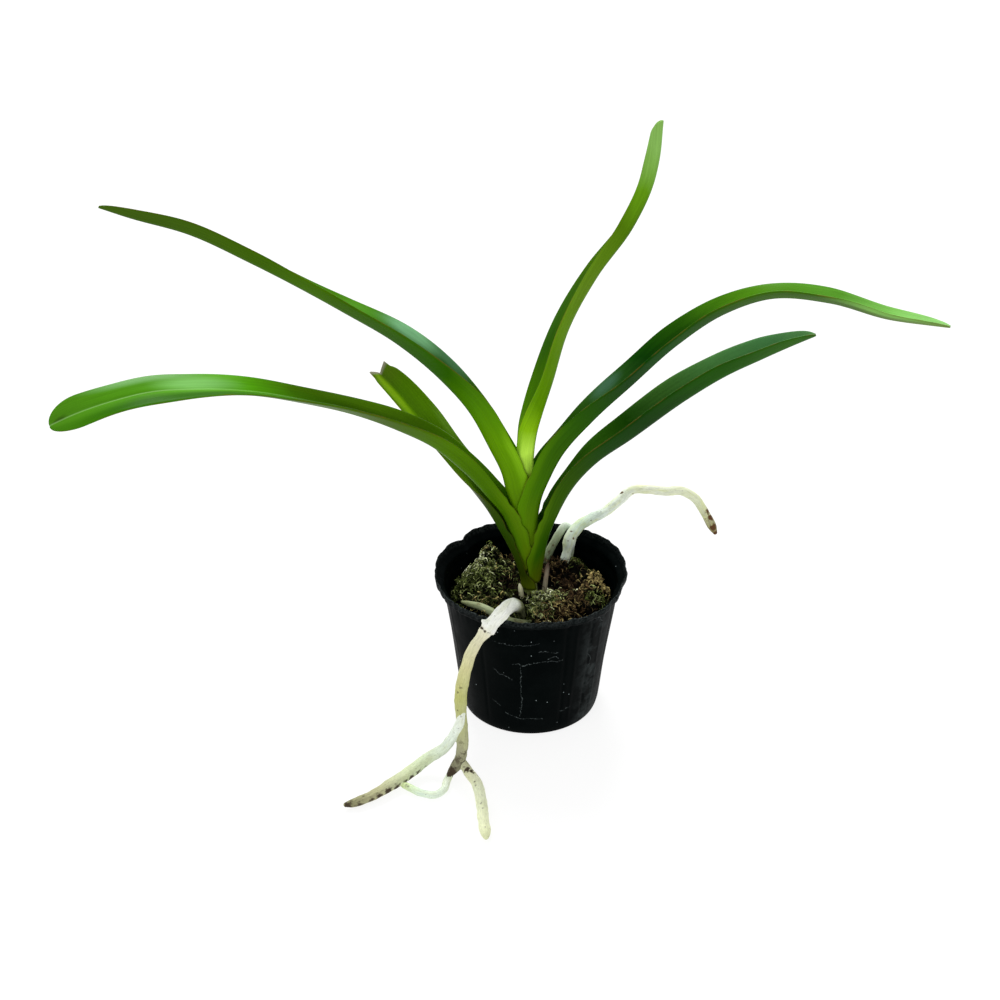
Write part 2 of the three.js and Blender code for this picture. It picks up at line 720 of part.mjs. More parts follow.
// The pocket in the moss that the foot of the leaf fan stands in.
function footPocket() {
  const pocket = new THREE.CylinderGeometry(POCKET_RADIUS, POCKET_RADIUS, POCKET_HEIGHT, 24);
  pocket.rotateX(Math.PI / 2);
  pocket.translate(0.2, 0, FAN_FOOT - HOLE_CLEARANCE + POCKET_HEIGHT / 2);
  return toManifold(closed(pocket));
}

let moss = makeMoss().subtract(footPocket());
moss = moss.subtract(fuse([STEM], { grow: HOLE_CLEARANCE, sides: STEM_SIDES }));
for (const pieces of Object.values(ROOT_PARTS)) {
  moss = moss.subtract(fuse(pieces, { grow: ROOT_CLEARANCE }));
}

addMesh("pot", makePot(), 0x0b0d0f, 0.45);
addMesh("potting_moss", fromManifold(moss), 0x3a3a22, 1);
addMesh("stem", tube(STEM, { sides: STEM_SIDES }), 0x7d8f3a, 0.7);
for (const [name, leaf] of Object.entries(LEAVES)) {
  addMesh(name, makeLeaf(leaf), leaf.color, 0.35);
}
for (const [name, pieces] of Object.entries(ROOT_PARTS)) {
  addMesh(name, fromManifold(fuse(pieces)), 0xd9dcc4, 0.8);
}

export default group;
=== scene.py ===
import math

import bpy
import numpy as np
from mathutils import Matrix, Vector, kdtree


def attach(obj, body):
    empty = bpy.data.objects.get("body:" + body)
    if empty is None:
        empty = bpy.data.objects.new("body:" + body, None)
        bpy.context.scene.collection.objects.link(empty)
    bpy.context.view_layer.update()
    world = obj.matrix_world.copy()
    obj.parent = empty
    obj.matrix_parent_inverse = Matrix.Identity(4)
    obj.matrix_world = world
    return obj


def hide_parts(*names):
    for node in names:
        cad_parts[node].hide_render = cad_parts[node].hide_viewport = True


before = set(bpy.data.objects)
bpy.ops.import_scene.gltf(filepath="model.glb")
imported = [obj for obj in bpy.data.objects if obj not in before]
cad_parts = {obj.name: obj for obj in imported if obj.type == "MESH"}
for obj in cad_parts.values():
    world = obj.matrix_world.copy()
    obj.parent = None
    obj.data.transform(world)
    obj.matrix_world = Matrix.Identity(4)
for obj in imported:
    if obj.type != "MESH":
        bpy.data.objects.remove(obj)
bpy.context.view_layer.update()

MM = 0.001


# Camera, floor and light

CAMERA_PLACE = (-15.0, -771.45, 577.53)
CAMERA_PITCH = 31  # degrees down from level
CAMERA_LENS = 68.354
SENSOR = 36


def linear(code):
    """An sRGB hex colour as linear red, green, blue and alpha."""
    parts = [int(code[i : i + 2], 16) / 255 for i in (1, 3, 5)]
    return [p / 12.92 if p <= 0.04045 else ((p + 0.055) / 1.055) ** 2.4 for p in parts] + [1]


def new_material(name):
    """An empty material, and the function that adds nodes to it."""
    material = bpy.data.materials.new(name)
    material.use_nodes = True
    tree = material.node_tree
    tree.nodes.clear()

    def add(kind, *inputs, stops="", out=0, **named):
        """Adds a shader node and gives back one of its outputs, or all where out is None.
        Inputs are values, or outputs to link, in the order of the sockets or by name with a
        capital. Names without one are settings. Stops of a ramp are percent and colour."""
        made = tree.nodes.new("ShaderNode" + kind)
        places = range(len(inputs))
        # A mix is always one of two colours.
        if kind == "Mix":
            made.data_type, places, out = "RGBA", (0, 6, 7), 2
        for key in [key for key in named if key[0].islower()]:
            setattr(made, key, named.pop(key))
        sockets = list(zip(places, inputs))
        sockets += [(key.replace("_", " "), value) for key, value in named.items()]
        for key, value in sockets:
            if isinstance(value, bpy.types.NodeSocket):
                tree.links.new(value, made.inputs[key])
            else:
                made.inputs[key].default_value = value
        if stops:
            ramp, stops = made.color_ramp.elements, stops.split(", ")
            while len(ramp) < len(stops):
                ramp.new(0.5)
            for element, stop in zip(ramp, stops):
                place, code = stop.split()
                element.position = float(place) / 100
                element.color = linear(code)
        return made.outputs if out is None else made.outputs[out]

    return material, add


def place_in_scene(name, data):
    made = bpy.data.objects.new(name, data)
    bpy.context.scene.collection.objects.link(made)
    return made


def make_stage():
    scene = bpy.context.scene
    scene.view_settings.view_transform = "Standard"
    eye = bpy.data.cameras.new("camera")
    eye.lens = CAMERA_LENS
    eye.sensor_width = SENSOR
    eye.clip_start = 0.01
    camera = place_in_scene("camera", eye)
    camera.location = Vector(CAMERA_PLACE) * MM
    camera.rotation_euler = (math.radians(90 - CAMERA_PITCH), 0, 0)
    scene.camera = camera

    world = bpy.data.worlds.new("soft_room")
    world.use_nodes = True
    world.node_tree.nodes["Background"].inputs["Color"].default_value = (1, 1, 1, 1)
    world.node_tree.nodes["Background"].inputs["Strength"].default_value = 0.72
    scene.world = world

    # name, strength, width of the light in degrees, elevation, azimuth it shines from
    for name, strength, spread, elevation, azimuth in (
        ("window_light", 2.1, 24, 52, 98),
        ("fill_light", 0.55, 50, 45, -125),
    ):
        lamp = bpy.data.lights.new(name, "SUN")
        lamp.energy = strength
        lamp.angle = math.radians(spread)
        holder = place_in_scene(name, lamp)
        holder.rotation_euler = (math.radians(90 - elevation), 0, math.radians(azimuth + 90))

    # The floor is a pale light table, so that shadows on it stay faint.
    material, add = new_material("pale_floor")
    table = add("BsdfPrincipled", Base_Color=linear("#7c7c7c"), Roughness=0.9,
                Specular_IOR_Level=0.0, Emission_Color=linear("#f4f4f4"), Emission_Strength=0.92)
    add("OutputMaterial", table, out=None)
    half = 6.0
    mesh = bpy.data.meshes.new("floor")
    corners = [(-half, -half), (half, -half), (half, half), (-half, half)]
    mesh.from_pydata([(x, y, -0.0002) for x, y in corners], [], [(0, 1, 2, 3)])
    mesh.materials.append(material)
    floor = place_in_scene("floor", mesh)


# Shapes


def mix(a, b, t):
    return a + (b - a) * t


def smooth(t):
    c = np.clip(t, 0, 1)
    return c * c * (3 - 2 * c)


def ripple(points, pitch, seed, count=14):
    """A smooth seeded wobble of about -1 to 1 over points, with bumps about pitch mm apart."""
    own = np.random.default_rng(seed)
    points = np.asarray(points, float)
    total = np.zeros(points.shape[:-1])
    for _ in range(count):
        way = own.normal(size=points.shape[-1])
        way *= 2 * np.pi / (pitch * own.uniform(0.7, 1.6) * np.linalg.norm(way))
        total += np.sin(points @ way + own.uniform(0, 2 * np.pi))
    return total / math.sqrt(2 * count) / 1.2


class Track:
    """A smooth curve through stations, each a list of numbers that starts with x, y, z."""

    def __init__(self, stations):
        self.rows = np.array(stations, float)
        steps = np.linalg.norm(np.diff(self.rows[:, :3], axis=0), axis=1)
        self.knots = np.concatenate([[0], np.cumsum(steps)])
        self.total = self.knots[-1]
        secant = np.diff(self.rows, axis=0) / steps[:, None]
        self.slope = np.empty_like(self.rows)
        self.slope[0], self.slope[-1] = secant[0], secant[-1]
        before, after = steps[:-1, None], steps[1:, None]
        self.slope[1:-1] = (secant[:-1] * after + secant[1:] * before) / (before + after)

    def at(self, s):
        s = np.asarray(s, float)
        i = np.clip(np.searchsorted(self.knots, s, side="left") - 1, 0, len(self.knots) - 2)
        h = (self.knots[i + 1] - self.knots[i])[:, None]
        t = np.clip((s[:, None] - self.knots[i][:, None]) / h, 0, 1)
        t2, t3 = t * t, t * t * t
        return (
            self.rows[i] * (2 * t3 - 3 * t2 + 1)
            + self.slope[i] * h * (t3 - 2 * t2 + t)
            + self.rows[i + 1] * (3 * t2 - 2 * t3)
            + self.slope[i + 1] * h * (t3 - t2)
        )

    def tangent(self, s, step=0.2):
        ahead = self.at(np.minimum(self.total, s + step))[:, :3]
        way = ahead - self.at(np.maximum(0, s - step))[:, :3]
        return unit(way)


def unit(v):
    return v / np.linalg.norm(v, axis=-1, keepdims=True)


def grid_faces(rows, columns, offset=0):
    """Quads between closed rows of points, listed row by row."""
    i, j = np.meshgrid(np.arange(rows - 1), np.arange(columns), indexing="ij")
    k = (j + 1) % columns
    corners = i * columns + j, i * columns + k, (i + 1) * columns + k, (i + 1) * columns + j
    return (np.stack(corners, -1).reshape(-1, 4) + offset).tolist()


def tube_faces(rows, columns, offset=0):
    """Quads round a tube, and a flat face at each end."""
    last = offset + (rows - 1) * columns
    ends = [[offset + j for j in range(columns)][::-1], [last + j for j in range(columns)]]
    return grid_faces(rows, columns, offset) + ends


def outward(points, faces):
    """The faces of a closed form, turned so that they look outwards."""
    volume = 0.0
    for f in faces:
        a = points[f[0]]
        for k in range(1, len(f) - 1):
            volume += float(np.dot(a, np.cross(points[f[k]], points[f[k + 1]])))
    return faces if volume >= 0 else [f[::-1] for f in faces]


def shell(name, points, faces):
    """An object made from points in mm."""
    mesh = bpy.data.meshes.new(name)
    faces = [list(map(int, f)) for f in faces]
    mesh.from_pydata((np.asarray(points, float) * MM).tolist(), [], faces)
    return place_in_scene(name, mesh)


def search_tree(points):
    tree = kdtree.KDTree(len(points))
    for i, p in enumerate(points):
        tree.insert(p, i)
    tree.balance()
    return tree


def dress(made, material, nodes, slot, attributes, shade=True):
    """Finishes a visible piece, ties it to the root body, and hides the CAD parts of the nodes it
    stands for.
    """
    mesh = made.data
    mesh.materials.clear()
    mesh.materials.append(material)
    if shade:
        mesh.polygons.foreach_set("use_smooth", [True] * len(mesh.polygons))
    for key, values in attributes.items():
        values = np.asarray(values, np.float32)
        kind, field = ("FLOAT_VECTOR", "vector") if values.ndim == 2 else ("FLOAT", "value")
        mesh.attributes.new(key, kind, "POINT").data.foreach_set(field, values.ravel())
    mesh.update()
    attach(made, "root")
    if nodes:
        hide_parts(*nodes)


# Leaves

LEAF_STEP = 1.5  # distance between the cross-sections of a blade
TIP_ROWS = 26
MARGIN_THINNING = 0.5
THIN_BLADE = 0.7
THICK_BLADE = 1.3
VEIN_PITCH = 1.9
KEEL_WIDTH = 0.9

# Stations along each keel, from the foot in the fan to the tip:
# x, y, z, half-width, fold, roll, turn, thickness.
LEAVES = {
    "leaf_left_old": {"side": -1, "notch": 3, "tip": 5, "end": 0.85, "stations": [
        (-4.2, 0, 65.5, 9.4, 0, 0, 5.1, 0.7), (-5.0, 0, 70.5, 8.9, 0, 0, 5.5, 0.7),
        (-6.5, 0, 77, 6.8, 0, 0, 5.5, 0.7), (-8.5, 0.2, 83, 7.0, 0, 0, 5.5, 0.7),
        (-11.8, 1, 90.5, 7.6, 0, 0, 5.6, 0.8), (-15.8, 2, 98.8, 8.0, 8, 6, 5.0, 1.0),
        (-21.2, 4, 109, 8.4, 25, 20, 4.0, 1.3), (-27.8, 8, 117.5, 8.8, 42, 30, 3.4, 1.6),
        (-39, 15, 129.0, 9.3, 55, 26, 3.0, 1.7), (-53.6, 24, 145.6, 9.8, 59, 31, 3.0, 1.8),
        (-67.4, 33, 158.8, 8.3, 62, 32, 3.0, 1.8), (-72.4, 36, 162.8, 6.8, 62, 32, 3.0, 1.8),
    ]},
    "leaf_right_low": {"side": 1, "notch": 0, "tip": 26, "stations": [
        (4.3, 0, 69, 7.3, 0, 0, 3.7, 0.7), (5.0, 0, 75, 9.0, 0, 0, 3.85, 0.7),
        (6.1, 0, 82, 10.3, 0, 0, 4.35, 0.7), (7.5, 0, 91, 10.2, 0, 0, 4.65, 0.7),
        (9.3, 0, 98, 9.8, 0, 0, 4.8, 0.8), (12, 0, 106, 9.6, 4, 0, 4.6, 1.0),
        (20.6, 2, 122.4, 10.0, 34, -12, 4.0, 1.5), (29, 3, 132.4, 11.2, 40, -9, 3.5, 1.7),
        (46.5, 7, 144.4, 12.6, 37, -4, 3.2, 1.8), (72.7, 15, 161.4, 12.8, 35, -3, 3.0, 1.8),
        (90, 21, 169.9, 11.6, 34, -5, 3.0, 1.8), (108, 27, 176.1, 10.1, 37, -4, 2.8, 1.7),
        (124, 32, 181.2, 8.1, 39, -4, 2.4, 1.5), (133.6, 34.7, 184.1, 7.4, 40, 0, 2.0, 1.3),
    ]},
    "leaf_left_low": {"side": -1, "notch": 1.2, "tip": 14, "stations": [
        (-4.4, 0, 75.5, 7.0, 0, 0, 2.9, 0.7), (-6.3, 0, 82.5, 9.9, 0, 0, 3.35, 0.7),
        (-8.8, 0, 91, 10.6, 0, 0, 3.65, 0.7), (-10.9, 0, 99, 10, 0, 0, 3.85, 0.7),
        (-14.4, 0, 107.5, 9.8, 0, 0, 4.05, 0.8), (-20.8, -1, 117.2, 9.8, 6, -2, 4.0, 1.1),
        (-32.8, -3, 133, 10, 20, -13, 3.6, 1.5), (-45, -5, 145.8, 10.2, 36, -13, 3.2, 1.7),
        (-61.3, -10, 158.1, 9.7, 45, -9, 3.0, 1.8), (-80, -14, 168.2, 9, 57, -9, 3.0, 1.7),
        (-104, -22, 179, 8.7, 64, -6, 3.0, 1.7), (-125, -29, 186.7, 9.3, 68, -3, 3.0, 1.7),
        (-150, -38, 192.4, 10, 75, 4, 3.0, 1.8), (-166, -43, 193.8, 9.8, 80, 14, 3.0, 1.8),
        (-182, -48, 192, 9.4, 78, 20, 3.0, 1.7), (-199, -52, 187.5, 8.9, 75, 33, 2.8, 1.5),
        (-208, -54, 184, 9, 73, 33, 2.6, 1.2),
    ]},
    "leaf_right_high": {"side": 1, "notch": 0, "tip": 40, "stations": [
        (2.6, 0, 82.5, 6.7, 0, 0, 2.3, 0.7), (2.8, 0, 91, 9.4, 0, 0, 2.65, 0.7),
        (2.8, 0, 99, 10.6, 0, 0, 2.85, 0.7), (3.1, 0, 107, 11.3, 0, 0, 3.05, 0.7),
        (4.3, 0, 115, 11.8, 0, 0, 3.2, 0.9), (8.3, 0, 127, 11.6, 8, 0, 3.2, 1.2),
        (13.3, -1, 138.8, 11.4, 28, -16, 3.2, 1.5), (27.8, -3, 159.6, 10.7, 30, -9, 3.0, 1.7),
        (43.9, -5, 178.4, 9.7, 34, 6, 3.0, 1.8), (64.6, -7, 200.9, 9.2, 39, 5, 3.0, 1.8),
        (84, -9, 216.4, 8.7, 47, -3, 3.0, 1.8), (103.6, -11, 224.6, 8.1, 53, -10, 3.0, 1.7),
        (129.5, -13, 223.5, 8.1, 56, -6, 2.8, 1.7), (156, -15, 216.4, 6.9, 56, -6, 2.4, 1.5),
        (175, -17, 214.3, 6.2, 52, -5, 2.2, 1.3), (182.7, -18, 213.7, 5.6, 50, -5, 2.0, 1.2),
    ]},
    "leaf_left_high": {"side": -1, "notch": 0, "tip": 40, "stations": [
        (-3.0, 0, 89.5, 3.9, 0, 0, 1.6, 0.7), (-5.0, 0, 97, 6.9, 0, 0, 1.75, 0.7),
        (-7.2, 0, 104.5, 9.2, 0, 0, 1.85, 0.7), (-9.6, 0, 112, 11, 0, 0, 2.0, 0.8),
        (-11.6, 0, 119, 11.8, 0, 0, 2.1, 1.0), (-13.8, 0, 129, 12.2, 4, -4, 2.5, 1.2),
        (-19.4, 0.8, 142, 12.3, 16, -10, 3.1, 1.5), (-29.2, 3, 161, 12.4, 34, -16, 3.0, 1.7),
        (-42, 5, 176.4, 12.0, 40, -9, 3.0, 1.8), (-60.6, 8, 192.4, 10.5, 41, -4, 3.0, 1.8),
        (-86, 12, 207.2, 8.9, 51, -15, 3.0, 1.7), (-127.5, 18, 228.8, 7.8, 50, -27, 2.8, 1.6),
        (-154, 21, 241, 8, 51, -27, 2.6, 1.5), (-182, 24, 248.2, 7.7, 50, -28, 2.4, 1.3),
        (-194.7, 25, 252.3, 6.6, 50, -28, 2.2, 1.2),
    ]},
    "leaf_centre": {"side": 1, "notch": 0.8, "tip": 5, "stations": [
        (1.2, 0, 95, 3.6, 0, 0, 0.7, 0.7), (1.7, 0, 104, 6.4, 0, 0, 0.8, 0.7),
        (2.0, 0, 114, 8.6, 0, 0, 0.95, 0.7), (1.4, 0, 125, 9.2, 0, 0, 1.0, 0.7),
        (0.5, 0, 134.5, 8.9, 0, 0, 1.0, 0.8), (1.0, 0, 144.5, 8.8, 0, 0, 1.2, 0.9),
        (2.0, 0.8, 151.5, 9.7, 12, 1, 1.9, 1.2), (3.9, 2, 159, 10.4, 24, 3, 2.4, 1.4),
        (8.3, 4.5, 174, 10.4, 34, 11, 2.6, 1.5), (15.8, 9, 200, 9.2, 44, 4, 2.6, 1.5),
        (28.3, 13, 224, 7.9, 40, -6, 2.4, 1.5), (43.8, 17, 246, 7.6, 30, -17, 2.4, 1.4),
        (52.3, 20, 265.4, 7.3, 28, -14, 2.4, 1.3), (54.4, 21, 276, 7.1, 28, -13, 2.2, 1.3),
        (55.6, 23, 292.4, 5.2, 28, -12, 2.0, 1.2),
    ]},
}

# Places across half a blade, from the keel to the margin.
HALF_PLACES = [0.03, 0.07, 0.12, 0.18, 0.26, 0.35, 0.45, 0.56, 0.67, 0.77, 0.86, 0.92, 0.96, 0.985]


def blade_points(leaf, seed):
    """Points of a fine leaf, row by row: outer face, margin, inner face, margin."""
    path, tip = Track(leaf["stations"]), leaf["tip"]
    body = np.linspace(0, path.total - tip, int((path.total - tip) / LEAF_STEP) + 1)[:-1]
    end = path.total - tip * np.cos(np.linspace(0, np.pi / 2, TIP_ROWS)) ** 1.6
    s = np.concatenate([body, np.minimum(end, path.total)])
    place = path.at(s)[:, None, :3]
    half, fold, roll, turn, thick = path.at(s).T[3:, :, None]
    along = path.tangent(s)
    across = unit(np.array([0, 1, 0]) - along * along[:, 1:2])
    inward = np.cross(across, along) if leaf["side"] < 0 else np.cross(along, across)
    lean = np.radians(roll)
    opened = (inward * np.cos(lean) - across * np.sin(lean))[:, None]
    flank = (across * np.cos(lean) + inward * np.sin(lean))[:, None]
    s = s[:, None]
    share = np.clip(np.maximum(0, path.total - s) / tip, 0, 1)
    width = half * np.maximum(np.sqrt(1 - (1 - share) ** 2), leaf.get("end", 0.05))
    bend = np.pi / 2 - np.radians(fold)

    places = np.array([-1, *(-p for p in HALF_PLACES[::-1]), 0, *HALF_PLACES, 1])
    v = np.broadcast_to(places, (len(s), len(places)))
    sign, out = np.sign(v), np.abs(v)
    # Low in the fan the margins are dry and zigzag a little.
    zigzag = 0.1 * ripple(np.stack([s + 0 * v, 9 * sign], -1), 7, seed + 20, 6)
    zigzag = zigzag * smooth((48 - s) / 14) * out**4
    u = out * width * (1 + zigzag)
    limit = np.minimum(u / turn, bend)
    rest = u - limit * turn
    sideways = sign * (turn * np.sin(limit) + rest * np.cos(limit))
    inwards = turn * (1 - np.cos(limit)) + rest * np.sin(limit)
    # Margins wave a little where the blade is free, each half in its own way.
    free = smooth((s - 70) / 60) * (0.35 + 0.65 * share)
    wave = ripple(np.stack([s + 0 * v, 40 * sign], -1), 34, seed, 6)
    inwards = inwards + 0.45 * free * wave * out**2 * np.cos(limit)
    middle = place + flank * sideways[..., None] + opened * inwards[..., None]
    middle = middle + along[:, None] * (leaf["notch"] * (1 - share) * out)[..., None]
    normal = flank * (sign * np.sin(limit))[..., None] - opened * np.cos(limit)[..., None]
    thinning = smooth((thick - THIN_BLADE) / (THICK_BLADE - THIN_BLADE))
    rounded = np.sqrt(np.clip(1 - np.clip((out - 0.9) / 0.1, 0, 1) ** 2, 0, 1))
    deep = thick * (1 - MARGIN_THINNING * thinning * out**3) * rounded / 2
    veins = 0.012 * np.cos(2 * np.pi * u / VEIN_PITCH) * smooth((s - 60) / 40) * rounded
    keel = 0.14 * np.exp(-((u / KEEL_WIDTH) ** 2)) * smooth((s - 60) / 50)
    outer = middle + normal * (deep + veins + keel)[..., None]
    inner = middle - normal * (deep + veins - 1.4 * keel)[..., None]

    def both(front, back):
        return np.concatenate([front, back[:, -2:0:-1]], axis=1)

    v, face = both(v, v), both(0 * v, 0 * v + 1)
    face[:, [0, len(places) - 1]] = 0.5
    blade = np.stack([s + 0 * v, v * width, 0 * v + 40 * seed], -1)
    zone = np.stack([s / path.total + 0 * v, v, face], -1)
    return both(outer, inner), blade, zone


def make_leaf(name, leaf, seed, material):
    rows, blade, zone = blade_points(leaf, seed)
    count, wide = rows.shape[:2]
    faces = grid_faces(count, wide)
    # A strip of faces from margin to margin closes each end.
    for first in (0, (count - 1) * wide):
        for j in range(wide // 2):
            quad = [first + j, first + j + 1, first + wide - j - 1, first + (wide - j) % wide]
            quad = [q for i, q in enumerate(quad) if q != quad[i - 1]]
            if len(set(quad)) > 2:
                faces.append(quad if first else quad[::-1])
    points = rows.reshape(-1, 3)
    made = shell(name + "_blade", points, outward(points, faces))
    places = {"blade": blade.reshape(-1, 3), "zone": zone.reshape(-1, 3)}
    dress(made, material, [name], name, places)


def leaf_skin(name, outer, inner, painted_light_patches=(), margin=1, rib=("#16380a", 0.2), cut=None):
    """Waxy living leaf: a thin satin cuticle over green tissue, with fine lengthwise veins.
    Outer and inner are the colours of the two faces from the foot to the tip, with painted
    shade on the outer faces where they look down, painted sheen and highlights on the inner
    faces, and a painted glow of light through the blade low in the fan. A patch is face, share
    along, share across, length, width, colour and strength; they paint sheens and highlights,
    more of the glow and some spots of shade. Margin is the height
    in mm below which the edge of the blade is dry and dark brown."""
    material, add = new_material(name)
    blade = add("Attribute", attribute_name="blade", out="Vector")
    zone = add("Attribute", attribute_name="zone", out="Vector")
    share, across, face = add("SeparateXYZ", zone, out=None)
    height, from_keel, _ = add("SeparateXYZ", blade, out=None)
    # Long soft blotches shift where the colours change.
    long = add("VectorMath", blade, (0.03, 0.12, 1), operation="MULTIPLY")
    blotch = add("TexNoise", Vector=long, Scale=1.0, Detail=3.0)
    shifted = add("MapRange", blotch, 0.3, 0.7, -0.02, 0.02)
    where = add("Math", share, shifted, operation="ADD")
    faces = [add("ValToRGB", where, stops=stops) for stops in (outer, inner)]
    inside = add("MapRange", face, 0.3, 0.7)
    colour = add("Mix", inside, *faces)
    # Painted sheen, highlights, glow and spots of shade, one patch at a time.
    for on, s, v, length, width, code, strength in painted_light_patches:
        size, shift = (1 / length, 1 / width, 2), (-s / length, -v / width, -2 * on)
        away = add("VectorMath", zone, size, shift, operation="MULTIPLY_ADD")
        away = add("VectorMath", away, operation="LENGTH", out=1)
        fade = add("MapRange", away, 1, 0.2, 0, strength, interpolation_type="SMOOTHSTEP")
        colour = add("Mix", fade, colour, linear(code))
    # Fine veins run the length of the blade, about 0.6 mm apart, between broader streaks.
    fine = add("VectorMath", blade, (0.02, 1.5, 1), operation="MULTIPLY")
    veins = add("TexNoise", Vector=fine, Scale=1.0, Detail=4.0, Roughness=0.7)
    shade = add("MapRange", veins, 0.3, 0.7, 0.86, 1.14)
    cloud = add("MapRange", blotch, 0.3, 0.7, 0.9, 1.1)
    shade = add("Math", shade, cloud, operation="MULTIPLY")
    colour = add("Mix", 1.0, colour, shade, blend_type="MULTIPLY")
    # The midrib is a narrow line on the inner face.
    line = add("Math", from_keel, operation="ABSOLUTE")
    line = add("MapRange", line, 0.7, 0.15, 0, rib[1])
    line = add("Math", line, inside, operation="MULTIPLY")
    colour = add("Mix", line, colour, linear(rib[0]))
    # The margin is a thin reddish line in places, and dark brown at the foot.
    low = add("MapRange", height, 1.1 * margin, 0.7 * margin)
    patchy = add("VectorMath", blade, (0.14, 0.3, 1), operation="MULTIPLY")
    patchy = add("TexNoise", Vector=patchy, Scale=1.0, Detail=2.0)
    dry = add("MapRange", patchy, 0.42, 0.62, 0, 0.32)
    dry = add("Math", dry, low, operation="MAXIMUM")
    rim = add("Math", across, operation="ABSOLUTE")
    rim = add("MapRange", rim, 0.97, 0.99)
    rim = add("Math", rim, dry, operation="MULTIPLY")
    brown = add("Mix", low, linear("#7a5424"), linear("#241505"))
    colour = add("Mix", rim, colour, brown)
    if cut:
        end = add("MapRange", share, 0.988, 0.996)
        colour = add("Mix", end, colour, linear(cut))
    grain = add("TexNoise", Vector=blade, Scale=1.2, Detail=2.0)
    relief = add("Math", veins, grain, operation="ADD")
    bump = add("Bump", Height=relief, Strength=0.3, Distance=0.0001)
    rough = add("MapRange", blotch, 0.3, 0.7, 0.27, 0.4)
    skin = add("BsdfPrincipled", Base_Color=colour, Roughness=rough, Normal=bump, IOR=1.45,
               Specular_IOR_Level=0.03)
    add("OutputMaterial", skin, out=None)
    return material


# Pot

POT_HEIGHT = 74
BASE_RADIUS = 33.8
RIM_RADIUS = 46.3
BODY_TOP_RADIUS = 42.6
LIP_HEIGHT = 5.5
WALL = 0.8
FLOOR = 1.2
LIP_WAVE = 0.35
LIP_RING = 46
LIP_BEND_FROM = 0.75
DRAIN_COUNT = 6
DRAIN_RADIUS = 3.5
DRAIN_CIRCLE = 24
POT_COLUMNS = 360
ARC_RADIUS = 40
SHARP_EDGE = 50  # degrees between faces

# Bends of the lip outwards and upwards, sharp kinks in it, and the faint upright creases where
# the panels of the soft wall meet: angle, width in radians and depth in mm.
LIP_OUT = [(2.5, 0.16, -0.9), (-0.25, 0.16, -0.8), (-1.55, 0.5, -1.0), (2.95, 0.3, 0.9),
           (0.5, 0.45, 0.9)]
LIP_UP = [(-0.75, 0.25, -0.8), (-1.9, 0.3, 0.5), (0.6, 0.5, 0.8), (2.1, 0.25, 0.8)]
KINKS = [(2.44, 0.05, -1.2), (2.6, 0.09, 0.7), (0.08, 0.05, -0.5), (-0.1, 0.07, 0.4),
         (3.05, 0.06, -0.4), (-2.3, 0.07, -0.5), (-0.62, 0.06, -0.4), (1.35, 0.07, -0.4),
         (1.9, 0.09, 0.4)]
CREASES = [(-1.16, -0.3), (-1.02, 0.22), (-0.8, -0.3), (-0.62, 0.2), (-0.4, -0.25), (-2.2, -0.2),
           (-2.75, 0.2), (0.3, -0.25), (1.1, 0.2), (2.0, -0.2), (2.8, 0.25)]
CREASES = [(at, 0.02, depth) for at, depth in CREASES]


def dents(angle, rows):
    """How far the listed bends move the wall at an angle."""
    total = 0 * angle
    for at, width, depth in rows:
        away = np.arctan2(np.sin(angle - at), np.cos(angle - at))
        total = total + depth * np.exp(-((away / width) ** 2))
    return total


def inner_radius(z):
    return mix(BASE_RADIUS, BODY_TOP_RADIUS, z / (POT_HEIGHT - LIP_HEIGHT)) - WALL


def pot_place(radius, z, angle):
    share = smooth((z / POT_HEIGHT - LIP_BEND_FROM) / (1 - LIP_BEND_FROM))
    # Small crumples in the thin lip, deepest at the front.
    front = 0.45 + 0.55 * np.clip(-np.sin(angle), 0, 1)
    ring = np.stack([LIP_RING * np.cos(angle), LIP_RING * np.sin(angle)], -1)
    crumple = (0.7 * ripple(ring, 9, 5, 10) + 0.5 * ripple(ring, 4, 9, 12)) * front
    flutter = (0.6 * ripple(ring, 6, 6, 10) + 0.5 * ripple(ring, 3, 7, 12)) * front
    slack = smooth(z / 12) * (1 - 0.6 * share)
    sag = 0.35 * ripple(np.stack([*ring.T, 0.5 * z + 0 * angle], -1), 26, 8, 8)
    kinks = dents(angle, KINKS)
    r = radius + dents(angle, LIP_OUT) * share + (0.9 * crumple + kinks) * share**2
    r = r + (dents(angle, CREASES) + sag) * slack
    up = dents(angle, LIP_UP) + LIP_WAVE * np.sin(3 * angle + 1)
    height = z + (up * share + (0.8 * flutter + 0.5 * kinks) * share**3)
    return np.stack([r * np.cos(angle), r * np.sin(angle), height], -1)


